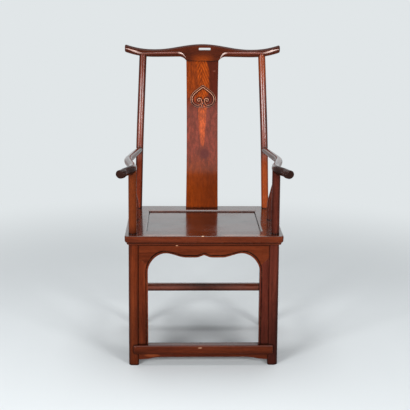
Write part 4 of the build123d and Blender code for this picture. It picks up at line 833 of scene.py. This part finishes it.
def ruyi_heights(grid):
    """Height of the carving at points (x, z), how far each is carved, and which ones belong to it."""
    half, heart_end = ruyi_half()
    tail = np.array(ruyi_points(RUYI_TAIL))
    heart = np.concatenate([half[:heart_end], (half[:heart_end] * (-1, 1))[::-1]])
    line = np.minimum(distance_to(grid, half), distance_to(grid, half * (-1, 1)))
    line = np.minimum(line, distance_to(grid, tail))
    edge = distance_to(grid, np.vstack([heart, heart[:1]]))
    outward = np.where(inside(grid, heart), -edge, edge)
    fall = np.clip((outward + FIELD_INSET) / (OUTER_RIDGE_OFFSET + FIELD_SPREAD), 0, 1)
    field = FIELD_RISE * (1 - fall ** 2)
    groove = np.clip(1 - np.abs(line - RIDGE_RADIUS - 0.5 * GROOVE_HALF) / GROOVE_HALF, 0, 1)
    outer_line = np.abs(outward - OUTER_RIDGE_OFFSET)
    height = np.maximum(field - GROOVE_DROP * groove - FIELD_SINK, ridge(line, RIDGE_RADIUS, RIDGE_RISE))
    height = np.maximum(height, ridge(outer_line, OUTER_RIDGE_RADIUS, OUTER_RIDGE_RISE))
    outer_carve = ridge(outer_line, OUTER_RIDGE_RADIUS, OUTER_RIDGE_CARVE)
    carve = np.maximum(ridge(line, RIDGE_RADIUS, 1.0), outer_carve)
    carve = np.where(carve > 0, carve, -groove)
    return height, carve, outward <= OUTER_RIDGE_OFFSET + OUTER_RIDGE_RADIUS


def ruyi_relief(material):
    """The carved cloud-head: a raised line that curls into two volutes, with a fine line outside it."""
    xs = np.arange(-RUYI_HALF - RUYI_MARGIN, RUYI_HALF + RUYI_MARGIN, RUYI_STEP)
    zs = np.arange(-RUYI_HEIGHT - RUYI_MARGIN, RUYI_MARGIN, RUYI_STEP)
    grid = np.array([(x, z) for z in zs for x in xs])
    height, carve, keep = ruyi_heights(grid)
    tree = front_of("back_splat")
    vertices = []
    for (x, z), rise in zip(grid, height):
        y = front_depth(tree, x + RUYI_X, z + RUYI_TOP)
        vertices.append((x + RUYI_X, y - rise, z + RUYI_TOP))
    columns = len(xs)
    faces = []
    for row in range(len(zs) - 1):
        for column in range(columns - 1):
            first = row * columns + column
            corners = (first, first + 1, first + 1 + columns, first + columns)
            if all(keep[index] for index in corners):
                faces.append(corners)
    mesh = bpy.data.meshes.new("splat_carving")
    mesh.from_pydata(vertices, [], faces)
    mesh.attributes.new("carve", "FLOAT", "POINT").data.foreach_set("value", carve.astype(np.float32))
    piece = link_piece("splat_carving", mesh, material)
    bpy.ops.object.mode_set(mode="EDIT")
    bpy.ops.mesh.delete_loose()
    bpy.ops.object.mode_set(mode="OBJECT")
    solid = piece.modifiers.new("thickness", "SOLIDIFY")
    solid.thickness = RELIEF_DEPTH
    solid.offset = -1.0
    bpy.ops.object.modifier_apply(modifier=solid.name)
    bpy.ops.object.shade_smooth()


def straight_sight(graph):
    """One where the backdrop is seen by the camera, in gloss or through glass."""
    path = graph.add("ShaderNodeLightPath")
    seen = graph.plus(path.outputs["Is Camera Ray"], path.outputs["Is Glossy Ray"], clamp=True)
    return graph.plus(seen, path.outputs["Is Transmission Ray"], clamp=True)


def make_stage():
    """Pale matt floor that keeps the chair's shadow and fades to the backdrop's plain colour."""
    material = bpy.data.materials.new("floor_paint")
    graph = Graph(material)
    place = graph.add("ShaderNodeTexCoord").outputs["Object"]
    backdrop = linear(BACKDROP_COLOUR)
    speck = graph.span(graph.noise(place, *FLOOR_NOISE), *FLOOR_SPECKS)
    darker = tuple(value - SPECK_DARKER for value in BACKDROP_COLOUR)
    tone = graph.tint(backdrop, speck, darker)
    lit = graph.add("ShaderNodeBsdfDiffuse", {"Color": tone}).outputs[0]
    plain = graph.add("ShaderNodeEmission", {"Color": backdrop, "Strength": 1.0}).outputs[0]
    far = graph.span(graph.vector("LENGTH", place), *FLOOR_FADE)
    share = graph.times(far, straight_sight(graph))
    surface = graph.add("ShaderNodeMixShader", {0: share, 1: lit, 2: plain}).outputs[0]
    graph.add("ShaderNodeOutputMaterial", {"Surface": surface})
    corners = [(x * FLOOR_HALF, y * FLOOR_HALF, 0.0) for x, y in ((-1, -1), (1, -1), (1, 1), (-1, 1))]
    mesh = bpy.data.meshes.new("floor")
    mesh.from_pydata(corners, [], [(0, 1, 2, 3)])
    mesh.materials.append(material)
    floor = bpy.data.objects.new("floor", mesh)
    bpy.context.scene.collection.objects.link(floor)


def make_lights():
    """Soft lamps from both sides and above, and an even sky that shows as the plain backdrop."""
    for name, place, aim, size, watts in LAMPS:
        lamp = bpy.data.lights.new(name, "AREA")
        lamp.shape = "RECTANGLE"
        lamp.size, lamp.size_y = size
        lamp.energy = watts
        item = bpy.data.objects.new(name, lamp)
        item.location = place
        item.rotation_euler = (Vector(aim) - Vector(place)).to_track_quat("-Z", "Y").to_euler()
        bpy.context.scene.collection.objects.link(item)
    world = bpy.data.worlds.new("sky")
    graph = Graph(world)
    sky = graph.add("ShaderNodeBackground", {0: (*SKY_COLOUR, 1.0), 1: SKY_STRENGTH}).outputs[0]
    plain = graph.add("ShaderNodeBackground", {0: linear(BACKDROP_COLOUR), 1: 1.0}).outputs[0]
    surface = graph.add("ShaderNodeMixShader", {0: straight_sight(graph), 1: sky, 2: plain}).outputs[0]
    graph.add("ShaderNodeOutputWorld", {"Surface": surface})
    bpy.context.scene.world = world


def make_camera():
    """Camera at the viewing angle that the chair is compared from."""
    forward = Vector((math.sin(CAMERA_YAW) * math.cos(CAMERA_PITCH),
                      math.cos(CAMERA_YAW) * math.cos(CAMERA_PITCH), -math.sin(CAMERA_PITCH)))
    level = Vector((math.cos(CAMERA_YAW), -math.sin(CAMERA_YAW), 0))
    upright = level.cross(forward)
    right = math.cos(CAMERA_ROLL) * level + math.sin(CAMERA_ROLL) * upright
    up = -math.sin(CAMERA_ROLL) * level + math.cos(CAMERA_ROLL) * upright
    turn = Matrix((right, up, -forward)).transposed().to_4x4()
    data = bpy.data.cameras.new("camera")
    data.lens = CAMERA_LENS
    data.sensor_width = CAMERA_SENSOR
    camera = bpy.data.objects.new("camera", data)
    camera.matrix_world = Matrix.Translation(CAMERA_PLACE) @ turn
    bpy.context.scene.collection.objects.link(camera)
    bpy.context.scene.camera = camera


bpy.context.scene.view_settings.view_transform = "Standard"
make_camera()
make_lights()
make_stage()
dress_nodes()
crest_arris()
splat_seed = sorted(nodes).index("back_splat") + 1
ruyi_relief(splat_wood("wood_splat_carving", splat_seed, carved=True))
